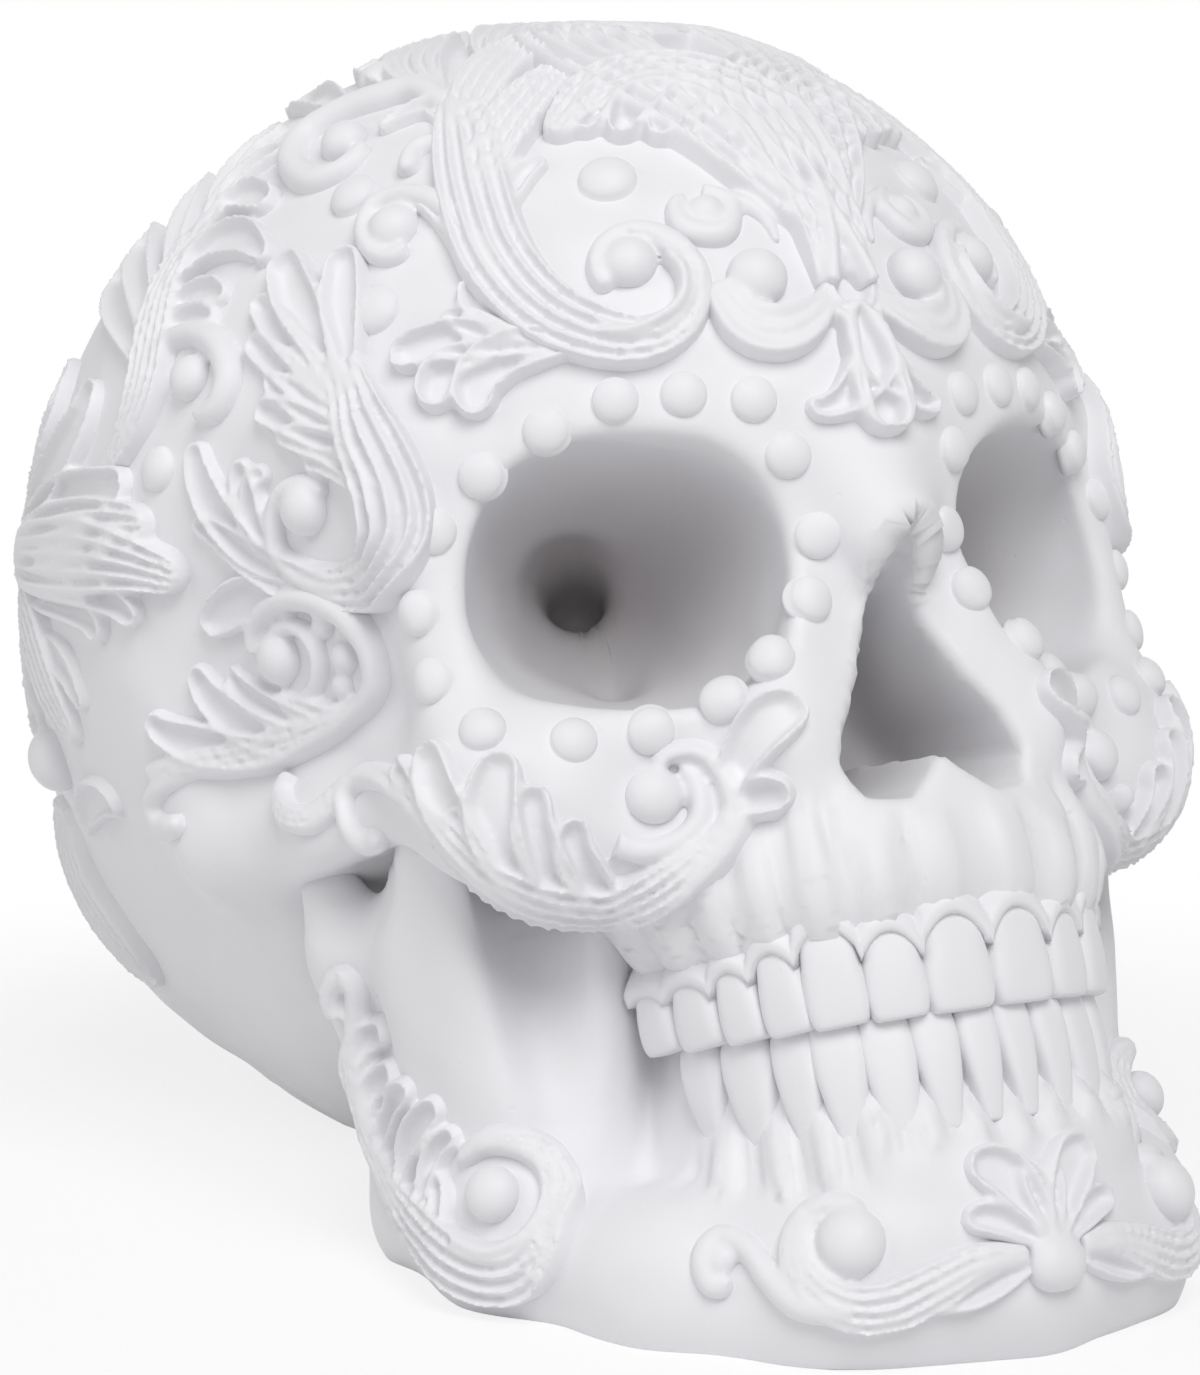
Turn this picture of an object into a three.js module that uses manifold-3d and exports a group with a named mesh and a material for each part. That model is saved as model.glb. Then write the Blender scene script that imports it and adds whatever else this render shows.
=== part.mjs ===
// Skull figurine: a hand-sized cast skull with modelled teeth, acanthus scrolls and bead trails.
// Millimetres, +Z up, the face toward -Y and the figurine's right side at -X.
// The skull is shaped upright in its own frame, with its origin between the ears, and then
// tilted back until its jaw and its nape stand on the ground.
import * as THREE from "three";
import Module from "manifold-3d";
import { mergeVertices } from "three/addons/utils/BufferGeometryUtils.js";
import { edgeTable, triTable } from "three/addons/objects/MarchingCubes.js";

const wasm = await Module();
wasm.setup();

// Driving sizes of the skull: shares of places below are shares of these three
const halfWidth = 65;
const faceReach = 80;
const jawDrop = 80;
const restHeight = 44.4;
const tiltBack = THREE.MathUtils.degToRad(22.2);

// Bone thicknesses
const browRadius = 4.5;
const archRadius = 5.8;
const pillarRadius = 5.4;
const nasalBoneRadius = 5.4;
const nasalTipRadius = 4.6;
const orbitFloorRadius = 5;
const jawBorderRadius = 8.5;
const branchRadius = 6;
const branchTopRadius = 4;
const coronoidTopRadius = 4.4;
const upperRidgeRadius = 7.2;
const lowerRidgeRadius = 6;

// Hollows
const orbitWidth = 34;
const orbitHeight = 29;
const orbitDepth = 38;
const orbitTipWidth = 9;
const noseWidth = 25;
const noseHeight = 24;
const noseDepth = 24;

// Teeth, from the middle to the back of each row, as shares of the row's length
const upperToothShares = [0.174, 0.1435, 0.1435, 0.124, 0.1218, 0.1522, 0.139];
const lowerToothShares = [0.1087, 0.1174, 0.1305, 0.1305, 0.1305, 0.1609, 0.1522];
const upperCrownHeight = 9;
const lowerCrownHeight = 11.5;
const toothRoot = 3.5;
const toothThickness = 6;
const biteDropShare = 0.5175;
const biteDrop = jawDrop * biteDropShare;
const biteRise = 3;
const lowerRowInset = 1.6;

// Beads and scrolls
const socketBeadRadius = 2.5;
const foreheadBeadRadius = 2.7;
const voluteBeadRadius = 2.9;
const socketBeadOffset = 4.2;
const stemWidth = 3.2;
const stalkWidth = 3.9;
const curlWidth = 2.5;
const leafWidth = 8;
const lobeWidth = 5;
const bladeWidth = 6.4;
const fanWidth = 9.6;
const tipWidth = 1.4;
const startWidth = 2.8;
const relief = 2.6;
const tipRelief = 1.2;

// Fits and cuts
const seatGap = 0.35;
const scrollSeat = 0.6;
const toothGap = 0.4;
const biteGap = 0.4;
const hollowOverrun = 16;
const slabSide = 340;
const mergeStep = 0.001;

// Soft joins where one mass flows into the next
const broadBlend = 14;
const faceBlend = 7;
const fineBlend = 4;

// Cell sizes of the surface nets, fine at the face and coarse behind
const faceCell = 5.6;
const branchCell = 6;
const sideCell = 8;
const rearCell = 15;
const netMargin = 9;
const braincaseTopShare = 1.19;
const slopeShare = 0.009;
const slopeStep = faceCell * slopeShare;

// A place in the skull frame from shares of the three driving sizes
function at(widthShare, reachShare, dropShare) {
  return new THREE.Vector3(widthShare * halfWidth, reachShare * faceReach, dropShare * jawDrop);
}

// Distance fields: negative inside, in millimetres near the surface
function ellipsoid(centreShare, radiiShare) {
  const c = at(...centreShare);
  const r = at(...radiiShare);
  return (x, y, z) => {
    const px = (x - c.x) / r.x;
    const py = (y - c.y) / r.y;
    const pz = (z - c.z) / r.z;
    const k0 = Math.hypot(px, py, pz);
    const k1 = Math.hypot(px / r.x, py / r.y, pz / r.z);
    return k1 === 0 ? -Math.min(r.x, r.y, r.z) : (k0 * (k0 - 1)) / k1;
  };
}

function limb(fromShare, toShare, fromRadius, toRadius) {
  const a = at(...fromShare);
  const b = at(...toShare);
  const d = b.clone().sub(a);
  const length2 = d.lengthSq();
  return (x, y, z) => {
    const along = ((x - a.x) * d.x + (y - a.y) * d.y + (z - a.z) * d.z) / length2;
    const t = Math.min(Math.max(along, 0), 1);
    const away = Math.hypot(x - a.x - t * d.x, y - a.y - t * d.y, z - a.z - t * d.z);
    return away - fromRadius - t * (toRadius - fromRadius);
  };
}

function blendMin(a, b, width) {
  const h = Math.max(width - Math.abs(a - b), 0) / width;
  return Math.min(a, b) - (h * h * width) / 4;
}

function blendMax(a, b, width) {
  return -blendMin(-a, -b, width);
}

// Eye socket: a rounded square at the rim that narrows to the back, turned out and down
const orbitAt = at(0.42, -0.815, 0.13);
const orbitTip = at(0.22, -0.42, 0.12);
const orbitRoll = THREE.MathUtils.degToRad(-14);
const orbitSquareness = 2.7;
const orbitDepthShares = [0, 0.3, 0.6, 0.85, 1];
const orbitNarrowing = 1.3;
const orbitPoints = 18;

function orbitFrame() {
  const inward = orbitTip.clone().sub(orbitAt).normalize();
  const up = new THREE.Vector3(0, 0, 1).addScaledVector(inward, -inward.z).normalize();
  const side = new THREE.Vector3().crossVectors(inward, up).negate();
  const u = side.clone().multiplyScalar(Math.cos(orbitRoll)).addScaledVector(up, Math.sin(orbitRoll));
  const v = up.clone().multiplyScalar(Math.cos(orbitRoll)).addScaledVector(side, -Math.sin(orbitRoll));
  return { inward, u, v };
}

// A place on the rounded square of the socket, at a depth and a turn round it
function orbitPlace(depth, turn, halfAcross, halfUp) {
  const { inward, u, v } = orbitFrame();
  const squared = (value) => Math.sign(value) * Math.abs(value) ** (2 / orbitSquareness);
  return orbitAt
    .clone()
    .addScaledVector(inward, depth)
    .addScaledVector(u, squared(Math.cos(turn)) * halfAcross)
    .addScaledVector(v, squared(Math.sin(turn)) * halfUp);
}

function orbitRing(depth, depthShare) {
  const open = 1 - depthShare ** orbitNarrowing;
  const halfAcross = (orbitTipWidth + (orbitWidth - orbitTipWidth) * open) / 2;
  const halfUp = (orbitTipWidth + (orbitHeight - orbitTipWidth) * open) / 2;
  const ring = [];
  for (let n = 0; n < orbitPoints; n += 1) {
    ring.push(orbitPlace(depth, (2 * Math.PI * n) / orbitPoints, halfAcross, halfUp));
  }
  return ring;
}

function mirrored(ring) {
  return ring.map((p) => new THREE.Vector3(-p.x, p.y, p.z)).reverse();
}

function orbitHollow(side) {
  const rings = [orbitRing(-hollowOverrun, 0)];
  for (const share of orbitDepthShares) rings.push(orbitRing(orbitDepth * share, share));
  return ringBody(side < 0 ? rings.map(mirrored) : rings);
}

// Nose opening: a pear with two lobes below that narrows inward, from shares of its size
const noseFront = -0.96 * faceReach;
const noseMiddle = -0.055 * jawDrop;
const noseOutlineShares = [
  [0, 0.52], [0.17, 0.4], [0.28, 0.16], [0.42, -0.14], [0.5, -0.34], [0.4, -0.5], [0.2, -0.5], [0, -0.4],
];
const noseDepthShares = [0, 0.55, 1];
const noseTaper = 0.4;

function noseRing(y, scale) {
  const width = noseWidth * scale;
  const height = noseHeight * scale;
  const half = noseOutlineShares.map(([across, up]) => [across * width, up * height]);
  const mirror = half.slice(1, -1).reverse().map(([x, z]) => [-x, z]);
  return [...half, ...mirror].map(([x, z]) => new THREE.Vector3(x, y, noseMiddle + z));
}

function noseHollow() {
  const rings = [noseRing(noseFront - hollowOverrun, 1)];
  for (const share of noseDepthShares) {
    rings.push(noseRing(noseFront + noseDepth * share, 1 - noseTaper * share));
  }
  return ringBody(rings);
}

// Cranium: brain case, brow, cheeks, nose, upper jaw and the nape that stands on the ground
const craniumAdded = [
  [ellipsoid([0, 0.0375, 0.365], [0.97, 0.98, 0.825]), broadBlend],
  [ellipsoid([0, -0.425, 0.4], [0.6, 0.5, 0.45]), faceBlend],
  [ellipsoid([0, 0.56, 0.12], [0.74, 0.45, 0.48]), broadBlend],
  [ellipsoid([0, 0.1, -0.22], [0.58, 0.59, 0.31]), broadBlend],
  [limb([0.12, -0.82, 0.33], [0.58, -0.64, 0.37], browRadius, browRadius), faceBlend],
  [ellipsoid([0, -0.84, 0.3], [0.16, 0.1, 0.14]), faceBlend],
  [limb([0.655, -0.61, 0.36], [0.645, -0.625, -0.05], pillarRadius, pillarRadius), fineBlend],
  [ellipsoid([0.53, -0.66, -0.14], [0.18, 0.12, 0.14]), faceBlend],
  [limb([0.4, -0.72, -0.22], [0.61, -0.57, -0.15], archRadius, archRadius), faceBlend],
  [limb([0.63, -0.6, -0.08], [0.77, -0.34, -0.07], archRadius, archRadius), faceBlend],
  [limb([0.77, -0.34, -0.07], [0.8, -0.08, -0.04], archRadius, archRadius), faceBlend],
  [ellipsoid([0, -0.7, -0.16], [0.43, 0.24, 0.33]), faceBlend],
  [ellipsoid([0, -0.675, -0.28], [0.41, 0.295, 0.155]), faceBlend],
  [limb([0, -0.85, 0.27], [0, -0.975, 0.09], nasalBoneRadius, nasalTipRadius), faceBlend],
  [limb([0.14, -0.825, 0.15], [0.235, -0.865, -0.14], nasalBoneRadius, nasalBoneRadius), fineBlend],
  [limb([0.22, -0.825, -0.06], [0.52, -0.7, -0.075], orbitFloorRadius, orbitFloorRadius), fineBlend],
];

const upperRidgeShares = [
  [0, -0.885, -0.33], [0.128, -0.869, -0.33], [0.194, -0.8375, -0.325], [0.244, -0.77, -0.32],
  [0.28, -0.681, -0.31], [0.305, -0.57, -0.3],
];
const lowerRidgeShares = [
  [0, -0.8475, -0.68], [0.122, -0.831, -0.68], [0.16, -0.8125, -0.675], [0.2, -0.7575, -0.665],
  [0.235, -0.6725, -0.655], [0.26, -0.5625, -0.635],
];

// A ridge of bone that carries a row of teeth, as limbs from place to place
function ridge(placeShares, radius) {
  return placeShares.slice(1).map((place, n) => [limb(placeShares[n], place, radius, radius), fineBlend]);
}

const craniumDents = [
  [ellipsoid([0.95, -0.45, 0.1], [0.13, 0.26, 0.26]), broadBlend],
  [ellipsoid([0.66, -0.32, -0.31], [0.18, 0.24, 0.16]), faceBlend],
  [ellipsoid([0.44, -0.92, -0.19], [0.1, 0.08, 0.1]), faceBlend],
];

// Lower jaw: lower border, chin, branch, tooth ridge and the web that fills the mouth
const mandibleAdded = [
  [limb([0, -0.824, -0.876], [0.26, -0.75, -0.845], jawBorderRadius, jawBorderRadius), faceBlend],
  [limb([0.26, -0.75, -0.845], [0.43, -0.6, -0.784], jawBorderRadius, jawBorderRadius), faceBlend],
  [limb([0.43, -0.6, -0.784], [0.56, -0.39, -0.7], jawBorderRadius, jawBorderRadius), faceBlend],
  [limb([0.56, -0.39, -0.7], [0.592, -0.2, -0.63], jawBorderRadius, branchRadius), faceBlend],
  [limb([0.6, -0.2, -0.6], [0.7, -0.26, -0.17], branchRadius, branchTopRadius), faceBlend],
  [limb([0.56, -0.44, -0.6], [0.63, -0.5, -0.2], branchRadius, coronoidTopRadius), faceBlend],
  [limb([0.58, -0.32, -0.6], [0.68, -0.42, -0.2], branchRadius, coronoidTopRadius), faceBlend],
  [ellipsoid([0, -0.825, -0.82], [0.31, 0.125, 0.125]), faceBlend],
  [ellipsoid([0, -0.625, -0.72], [0.385, 0.325, 0.15]), faceBlend],
  [ellipsoid([0, -0.5625, -0.525], [0.33, 0.34, 0.3]), fineBlend],
  [ellipsoid([0.46, -0.38, -0.5], [0.15, 0.17, 0.28]), fineBlend],
  [ellipsoid([0.44, -0.44, -0.33], [0.13, 0.14, 0.2]), fineBlend],
];

const mandibleDents = [
  [ellipsoid([0.74, -0.36, -0.23], [0.12, 0.08, 0.1]), fineBlend],
];

function bodyField(added, hollows) {
  return (signedX, y, z) => {
    const x = Math.abs(signedX);
    let d = added[0][0](x, y, z);
    for (const [mass, width] of added.slice(1)) {
      d = blendMin(d, mass(x, y, z), width);
    }
    for (const [hollow, width] of hollows) {
      d = blendMax(d, -hollow(x, y, z), width);
    }
    return d;
  };
}
const upperRidge = ridge(upperRidgeShares, upperRidgeRadius);
const lowerRidge = ridge(lowerRidgeShares, lowerRidgeRadius);
const craniumField = bodyField([...craniumAdded, ...upperRidge], craniumDents);
const mandibleField = bodyField([...mandibleAdded, ...lowerRidge], mandibleDents);

// Grid lines from one end to the other, with the cell growing from one size to another
function gridLines(from, to, firstCell, lastCell) {
  const count = Math.ceil((2 * (to - from)) / (firstCell + lastCell));
  const lines = [];
  for (let i = 0; i <= count; i += 1) {
    const t = i / count;
    lines.push(from + (to - from) * (t + ((firstCell - lastCell) / (firstCell + lastCell)) * t * (1 - t)));
  }
  return lines;
}

function mirroredLines(reach, firstCell, lastCell) {
  const half = gridLines(0, reach + netMargin, firstCell, lastCell);
  return [...half.slice(1).reverse().map((x) => -x), ...half];
}

// Surface of a field on a box of grid lines, by marching cubes
const cornerShares = [
  [0, 0, 0], [1, 0, 0], [1, 1, 0], [0, 1, 0], [0, 0, 1], [1, 0, 1], [1, 1, 1], [0, 1, 1],
];
const edgeEnds = [
  [0, 1], [1, 2], [3, 2], [0, 3], [4, 5], [5, 6], [7, 6], [4, 7], [0, 4], [1, 5], [2, 6], [3, 7],
];
const nearestShare = 0.1;

function polygonise(field, xs, ys, zs) {
  const index = (i, j, k) => (k * ys.length + j) * xs.length + i;
  const values = new Float64Array(xs.length * ys.length * zs.length);
  for (let k = 0; k < zs.length; k += 1) {
    for (let j = 0; j < ys.length; j += 1) {
      for (let i = 0; i < xs.length; i += 1) values[index(i, j, k)] = field(xs[i], ys[j], zs[k]);
    }
  }
  const vertices = [];
  const known = new Map();
  const triangles = [];
  const crossing = (a, b) => {
    const key = `${Math.min(a.id, b.id)}_${Math.max(a.id, b.id)}`;
    if (!known.has(key)) {
      const t = THREE.MathUtils.clamp(a.value / (a.value - b.value), nearestShare, 1 - nearestShare);
      known.set(key, vertices.length);
      vertices.push(a.point.clone().lerp(b.point, t));
    }
    return known.get(key);
  };
  for (let k = 0; k + 1 < zs.length; k += 1) {
    for (let j = 0; j + 1 < ys.length; j += 1) {
      for (let i = 0; i + 1 < xs.length; i += 1) {
        const corners = cornerShares.map(([a, b, c]) => {
          const id = index(i + a, j + b, k + c);
          return { id, value: values[id], point: new THREE.Vector3(xs[i + a], ys[j + b], zs[k + c]) };
        });
        let cube = 0;
        corners.forEach((corner, n) => {
          if (corner.value < 0) cube |= 1 << n;
        });
        if (edgeTable[cube] === 0) continue;
        for (let n = cube * 16; triTable[n] !== -1; n += 3) {
          const [a, b, c] = [0, 1, 2].map((m) => {
            const [from, to] = edgeEnds[triTable[n + m]];
            return crossing(corners[from], corners[to]);
          });
          triangles.push(a, c, b);
        }
      }
    }
  }
  return { vertices, triangles };
}

// Slope of a field, and the walk along it to a level
const leastSlope = 0.5;

function gradient(field, p) {
  return new THREE.Vector3(
    field(p.x + slopeStep, p.y, p.z) - field(p.x - slopeStep, p.y, p.z),
    field(p.x, p.y + slopeStep, p.z) - field(p.x, p.y - slopeStep, p.z),
    field(p.x, p.y, p.z + slopeStep) - field(p.x, p.y, p.z - slopeStep),
  ).divideScalar(2 * slopeStep);
}

function settle(field, p, level, rounds) {
  for (let n = 0; n < rounds; n += 1) {
    const g = gradient(field, p);
    const steep = Math.max(g.length(), leastSlope);
    p.addScaledVector(g, -(field(p.x, p.y, p.z) - level) / (steep * steep));
  }
  return p;
}

// Evens out the triangles and puts each vertex back on the surface
const evenShare = 0.4;

function relax({ vertices, triangles }, field, rounds) {
  for (let round = 0; round < rounds; round += 1) {
    const sums = vertices.map(() => ({ total: new THREE.Vector3(), count: 0 }));
    for (let n = 0; n < triangles.length; n += 3) {
      for (let m = 0; m < 3; m += 1) {
        const near = sums[triangles[n + m]];
        near.total.add(vertices[triangles[n + ((m + 1) % 3)]]);
        near.count += 1;
      }
    }
    vertices.forEach((p, n) => {
      const { total, count } = sums[n];
      p.lerp(total.divideScalar(count), evenShare);
      settle(field, p, 0, 1);
    });
  }
  return { vertices, triangles };
}

// Between three.js geometry and solids
function solidOf(geometry) {
  const bare = geometry.clone();
  bare.deleteAttribute("normal");
  bare.deleteAttribute("uv");
  const merged = mergeVertices(bare, mergeStep);
  const vertProperties = new Float32Array(merged.getAttribute("position").array);
  const triVerts = new Uint32Array(merged.getIndex().array);
  return new wasm.Manifold(new wasm.Mesh({ numProp: 3, vertProperties, triVerts }));
}

function geometryOf(solid) {
  const mesh = solid.getMesh();
  const positions = new Float32Array(mesh.numVert * 3);
  for (let n = 0; n < mesh.numVert; n += 1) {
    for (let m = 0; m < 3; m += 1) positions[n * 3 + m] = mesh.vertProperties[n * mesh.numProp + m];
  }
  const geometry = new THREE.BufferGeometry();
  geometry.setAttribute("position", new THREE.BufferAttribute(positions, 3));
  geometry.setIndex(new THREE.BufferAttribute(new Uint32Array(mesh.triVerts), 1));
  return geometry;
}

function netGeometry({ vertices, triangles }) {
  const geometry = new THREE.BufferGeometry();
  geometry.setFromPoints(vertices);
  geometry.setIndex(triangles);
  return geometry;
}

// The same net pushed out, to keep a fit to whatever is cut by it
function swollen(net, field, distance) {
  const vertices = net.vertices.map((p) => {
    return p.clone().addScaledVector(gradient(field, p).normalize(), distance);
  });
  return { vertices, triangles: net.triangles };
}

const craniumNet = relax(
  polygonise(
    craniumField,
    mirroredLines(halfWidth, faceCell, sideCell),
    gridLines(-faceReach - netMargin, faceReach + netMargin, faceCell, rearCell),
    gridLines(-jawDrop, jawDrop * braincaseTopShare + netMargin, faceCell, rearCell),
  ),
  craniumField,
  3,
);
const mandibleNet = relax(
  polygonise(
    mandibleField,
    mirroredLines(halfWidth, faceCell, branchCell),
    gridLines(-faceReach - netMargin, netMargin, faceCell, branchCell),
    gridLines(-jawDrop - netMargin, 0, sideCell, faceCell),
  ),
  mandibleField,
  3,
);

// The ground plane, as a slab that cuts both bones flat
function groundSlab() {
  const slab = new THREE.BoxGeometry(slabSide, slabSide, slabSide);
  slab.translate(0, 0, -slabSide / 2 - restHeight);
  slab.rotateX(tiltBack);
  return solidOf(slab);
}

// Bearings and heights are angles in degrees, seen from a point inside the skull or the jaw:
// bearing 0 looks out of the face, 90 out of the ear. They are read on a skull whose half width
// is the share below of its reach, and whose drop equals its reach, and stretch with any other
const bearingBreadthShare = 0.8125;
const skullHeart = at(0, -0.1, 0.1);
const jawHeart = at(0, -0.5, -0.55);
const searchReach = halfWidth + jawDrop;
const searchRounds = 90;
const searchShare = 0.7;
const searchCloseShare = 0.0036;
const searchClose = faceCell * searchCloseShare;
const settleRounds = 8;
const wholeField = (x, y, z) => Math.min(craniumField(x, y, z), mandibleField(x, y, z));

function bearingToward(bearing, height, side) {
  const a = THREE.MathUtils.degToRad(bearing);
  const e = THREE.MathUtils.degToRad(height);
  const broad = halfWidth / (faceReach * bearingBreadthShare);
  const tall = jawDrop / faceReach;
  const toward = new THREE.Vector3(side * Math.sin(a) * Math.cos(e), -Math.cos(a) * Math.cos(e), Math.sin(e));
  return toward.multiply(new THREE.Vector3(broad, 1, tall)).normalize();
}

function firstHit(from, direction, reach) {
  const p = from.clone().addScaledVector(direction, reach);
  for (let n = 0; n < searchRounds; n += 1) {
    const away = wholeField(p.x, p.y, p.z);
    if (away < searchClose) break;
    p.addScaledVector(direction, -away * searchShare);
  }
  return settle(wholeField, p, 0, settleRounds);
}

function onSkull(heart, [bearing, height], side) {
  return firstHit(heart, bearingToward(bearing, height, side), searchReach);
}

// One closed body from rings of points, with flat ends
function ringBody(rings) {
  const count = rings[0].length;
  const triangles = [];
  for (let i = 0; i + 1 < rings.length; i += 1) {
    for (let j = 0; j < count; j += 1) {
      const a = i * count + j;
      const b = i * count + ((j + 1) % count);
      triangles.push(a, b, b + count, a, b + count, a + count);
    }
  }
  const last = (rings.length - 1) * count;
  for (let j = 1; j + 1 < count; j += 1) {
    triangles.push(0, j + 1, j, last, last + j, last + j + 1);
  }
  return solidOf(netGeometry({ vertices: rings.flat(), triangles }));
}

// Beads: low domes whose poles stand off the surface
function bead(centre, radius) {
  const ball = new THREE.SphereGeometry(radius, beadSegments, beadRings);
  const out = gradient(wholeField, centre).normalize();
  ball.applyQuaternion(new THREE.Quaternion().setFromUnitVectors(new THREE.Vector3(0, 1, 0), out));
  ball.translate(centre.x, centre.y, centre.z);
  return ball;
}

const beadSegments = 6;
const beadRings = 4;
const socketBeadCount = 15;
const socketBeadStart = THREE.MathUtils.degToRad(12);

function socketBeadPlaces(side) {
  const outward = orbitFrame().inward.negate();
  const places = [];
  for (let n = 0; n < socketBeadCount; n += 1) {
    const turn = socketBeadStart + (2 * Math.PI * n) / socketBeadCount;
    const halfAcross = orbitWidth / 2 + socketBeadOffset;
    const halfUp = orbitHeight / 2 + socketBeadOffset;
    const hit = firstHit(orbitPlace(0, turn, halfAcross, halfUp), outward, orbitDepth / 2);
    places.push(new THREE.Vector3(hit.x * side, hit.y, hit.z));
  }
  return places;
}

const foreheadBeads = [[20.5, 38], [12, 33], [8.5, 26], [49, 45], [46, 32], [77, 28], [112, 1]];
const voluteBeads = [[21, 28.5], [58, 18.5], [67, 3.5], [70, 33], [44, 38.5]];
const cheekVoluteBead = [50, 39];
const jawVoluteBead = [91, -8];
const chinVoluteBead = [32, -25.5];

function craniumBeads(side) {
  return [
    ...socketBeadPlaces(side).map((p) => [p, socketBeadRadius]),
    ...foreheadBeads.map((place) => [onSkull(skullHeart, place, side), foreheadBeadRadius]),
    ...voluteBeads.map((place) => [onSkull(skullHeart, place, side), voluteBeadRadius]),
    [onSkull(jawHeart, cheekVoluteBead, side), voluteBeadRadius],
  ];
}

function mandibleBeads(side) {
  return [
    [onSkull(jawHeart, jawVoluteBead, side), voluteBeadRadius],
    [onSkull(jawHeart, chinVoluteBead, side), voluteBeadRadius],
  ];
}

// Teeth: lofts along the arch of each row, cut to the gums that hold them
const archShares = [
  [0, -0.972], [0.14, -0.955], [0.275, -0.895], [0.345, -0.8], [0.385, -0.7], [0.41, -0.585],
];
const toothPoints = 8;
const roundness = 0.62;
const backShare = 0.62;

// A place on the curve of a row of teeth, at a length along it and inset from the front
const rowCurve = new THREE.CatmullRomCurve3(archShares.map(([x, y]) => at(x, y, 0)));

function rowPlace(length, inset) {
  const t = Math.min(length / rowCurve.getLength(), 1);
  const along = rowCurve.getTangentAt(t);
  const place = rowCurve.getPointAt(t).add(new THREE.Vector3(-along.y, along.x, 0).multiplyScalar(inset));
  place.x = Math.max(place.x, 0);
  return place;
}

function toothSolid(from, to, inset, rings, side, room) {
  const start = rowPlace(from, inset);
  const end = rowPlace(to, inset);
  const width = start.distanceTo(end);
  const along = end.clone().sub(start).normalize();
  const out = new THREE.Vector3(along.y, -along.x, 0);
  const rise = biteRise * (to / rowCurve.getLength()) ** 2;
  const squared = (value) => Math.sign(value) * Math.abs(value) ** roundness;
  const loops = rings.map(([drop, widthShare, thicknessShare]) => {
    const halfAcross = ((width - toothGap) / 2) * widthShare + room;
    const halfThick = (toothThickness / 2) * thicknessShare + room;
    const centre = start.clone().lerp(end, 0.5);
    centre.z = rise - drop;
    const loop = [];
    for (let n = 0; n < toothPoints; n += 1) {
      const turn = (2 * Math.PI * (n + 0.5)) / toothPoints;
      const outShare = squared(Math.sin(turn));
      const acrossShare = squared(Math.cos(turn)) * (outShare < 0 ? backShare : 1);
      const point = centre.clone().addScaledVector(along, acrossShare * halfAcross);
      loop.push(point.addScaledVector(out, outShare * halfThick));
    }
    return side < 0 ? mirrored(loop) : loop;
  });
  return ringBody(loops);
}

const upperRings = [
  [biteDrop - upperCrownHeight - toothRoot, 0.75, 0.7],
  [biteDrop - upperCrownHeight * 0.75, 0.9, 0.95],
  [biteDrop - upperCrownHeight * 0.3, 1, 0.9],
  [biteDrop, 0.92, 0.5],
];
const lowerTop = biteDrop + biteGap;
const lowerRings = [
  [lowerTop, 0.96, 0.5],
  [lowerTop + lowerCrownHeight * 0.3, 1, 0.85],
  [lowerTop + lowerCrownHeight * 0.75, 0.72, 0.95],
  [lowerTop + lowerCrownHeight + toothRoot, 0.45, 0.8],
];

function toothRow(widthShares, rings, inset, side, room) {
  let from = 0;
  return widthShares.map((share) => {
    const width = rowCurve.getLength() * share;
    const tooth = toothSolid(from, from + width, inset + toothThickness / 2, rings, side, room);
    from += width;
    return tooth;
  });
}

// Scrolls and leaves: strokes that hug the surface, broad at the stem and fine at the tip. A room
// is what a piece leaves free round itself, so it is the same piece with a gap added
const strokeStep = 7;
const shoulderShare = 0.62;

function stroke(heart, places, fromWidth, middleWidth, toWidth, side, room) {
  const route = new THREE.CatmullRomCurve3(places.map((place) => onSkull(heart, place, side)));
  const count = Math.max(Math.round(route.getLength() / strokeStep), 3);
  const rings = [];
  for (let n = 0; n <= count; n += 1) {
    const t = n / count;
    const p = settle(wholeField, route.getPointAt(t), 0, 2);
    const out = gradient(wholeField, p).normalize();
    const across = new THREE.Vector3().crossVectors(route.getTangentAt(t), out).normalize();
    const swell = Math.sin(Math.PI * t);
    const plain = fromWidth + (toWidth - fromWidth) * t + (middleWidth - (fromWidth + toWidth) / 2) * swell;
    const width = plain + 2 * room;
    const high = relief + (tipRelief - relief) * t * t + room;
    const foot = (share) => {
      return settle(wholeField, p.clone().addScaledVector(across, width * share), scrollSeat, 2);
    };
    const crest = (share) => foot(share * shoulderShare).addScaledVector(out, high - scrollSeat);
    rings.push([foot(-0.5), crest(-0.5), crest(0.5), foot(0.5)]);
  }
  return ringBody(rings);
}

// Height of the socket's top from the skull's heart, which the spray over it follows
const socketTop = THREE.MathUtils.radToDeg(
  Math.atan2(
    (orbitAt.z + orbitHeight / 2 - skullHeart.z) / jawDrop,
    (skullHeart.y - orbitAt.y) / faceReach,
  ),
);

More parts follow.
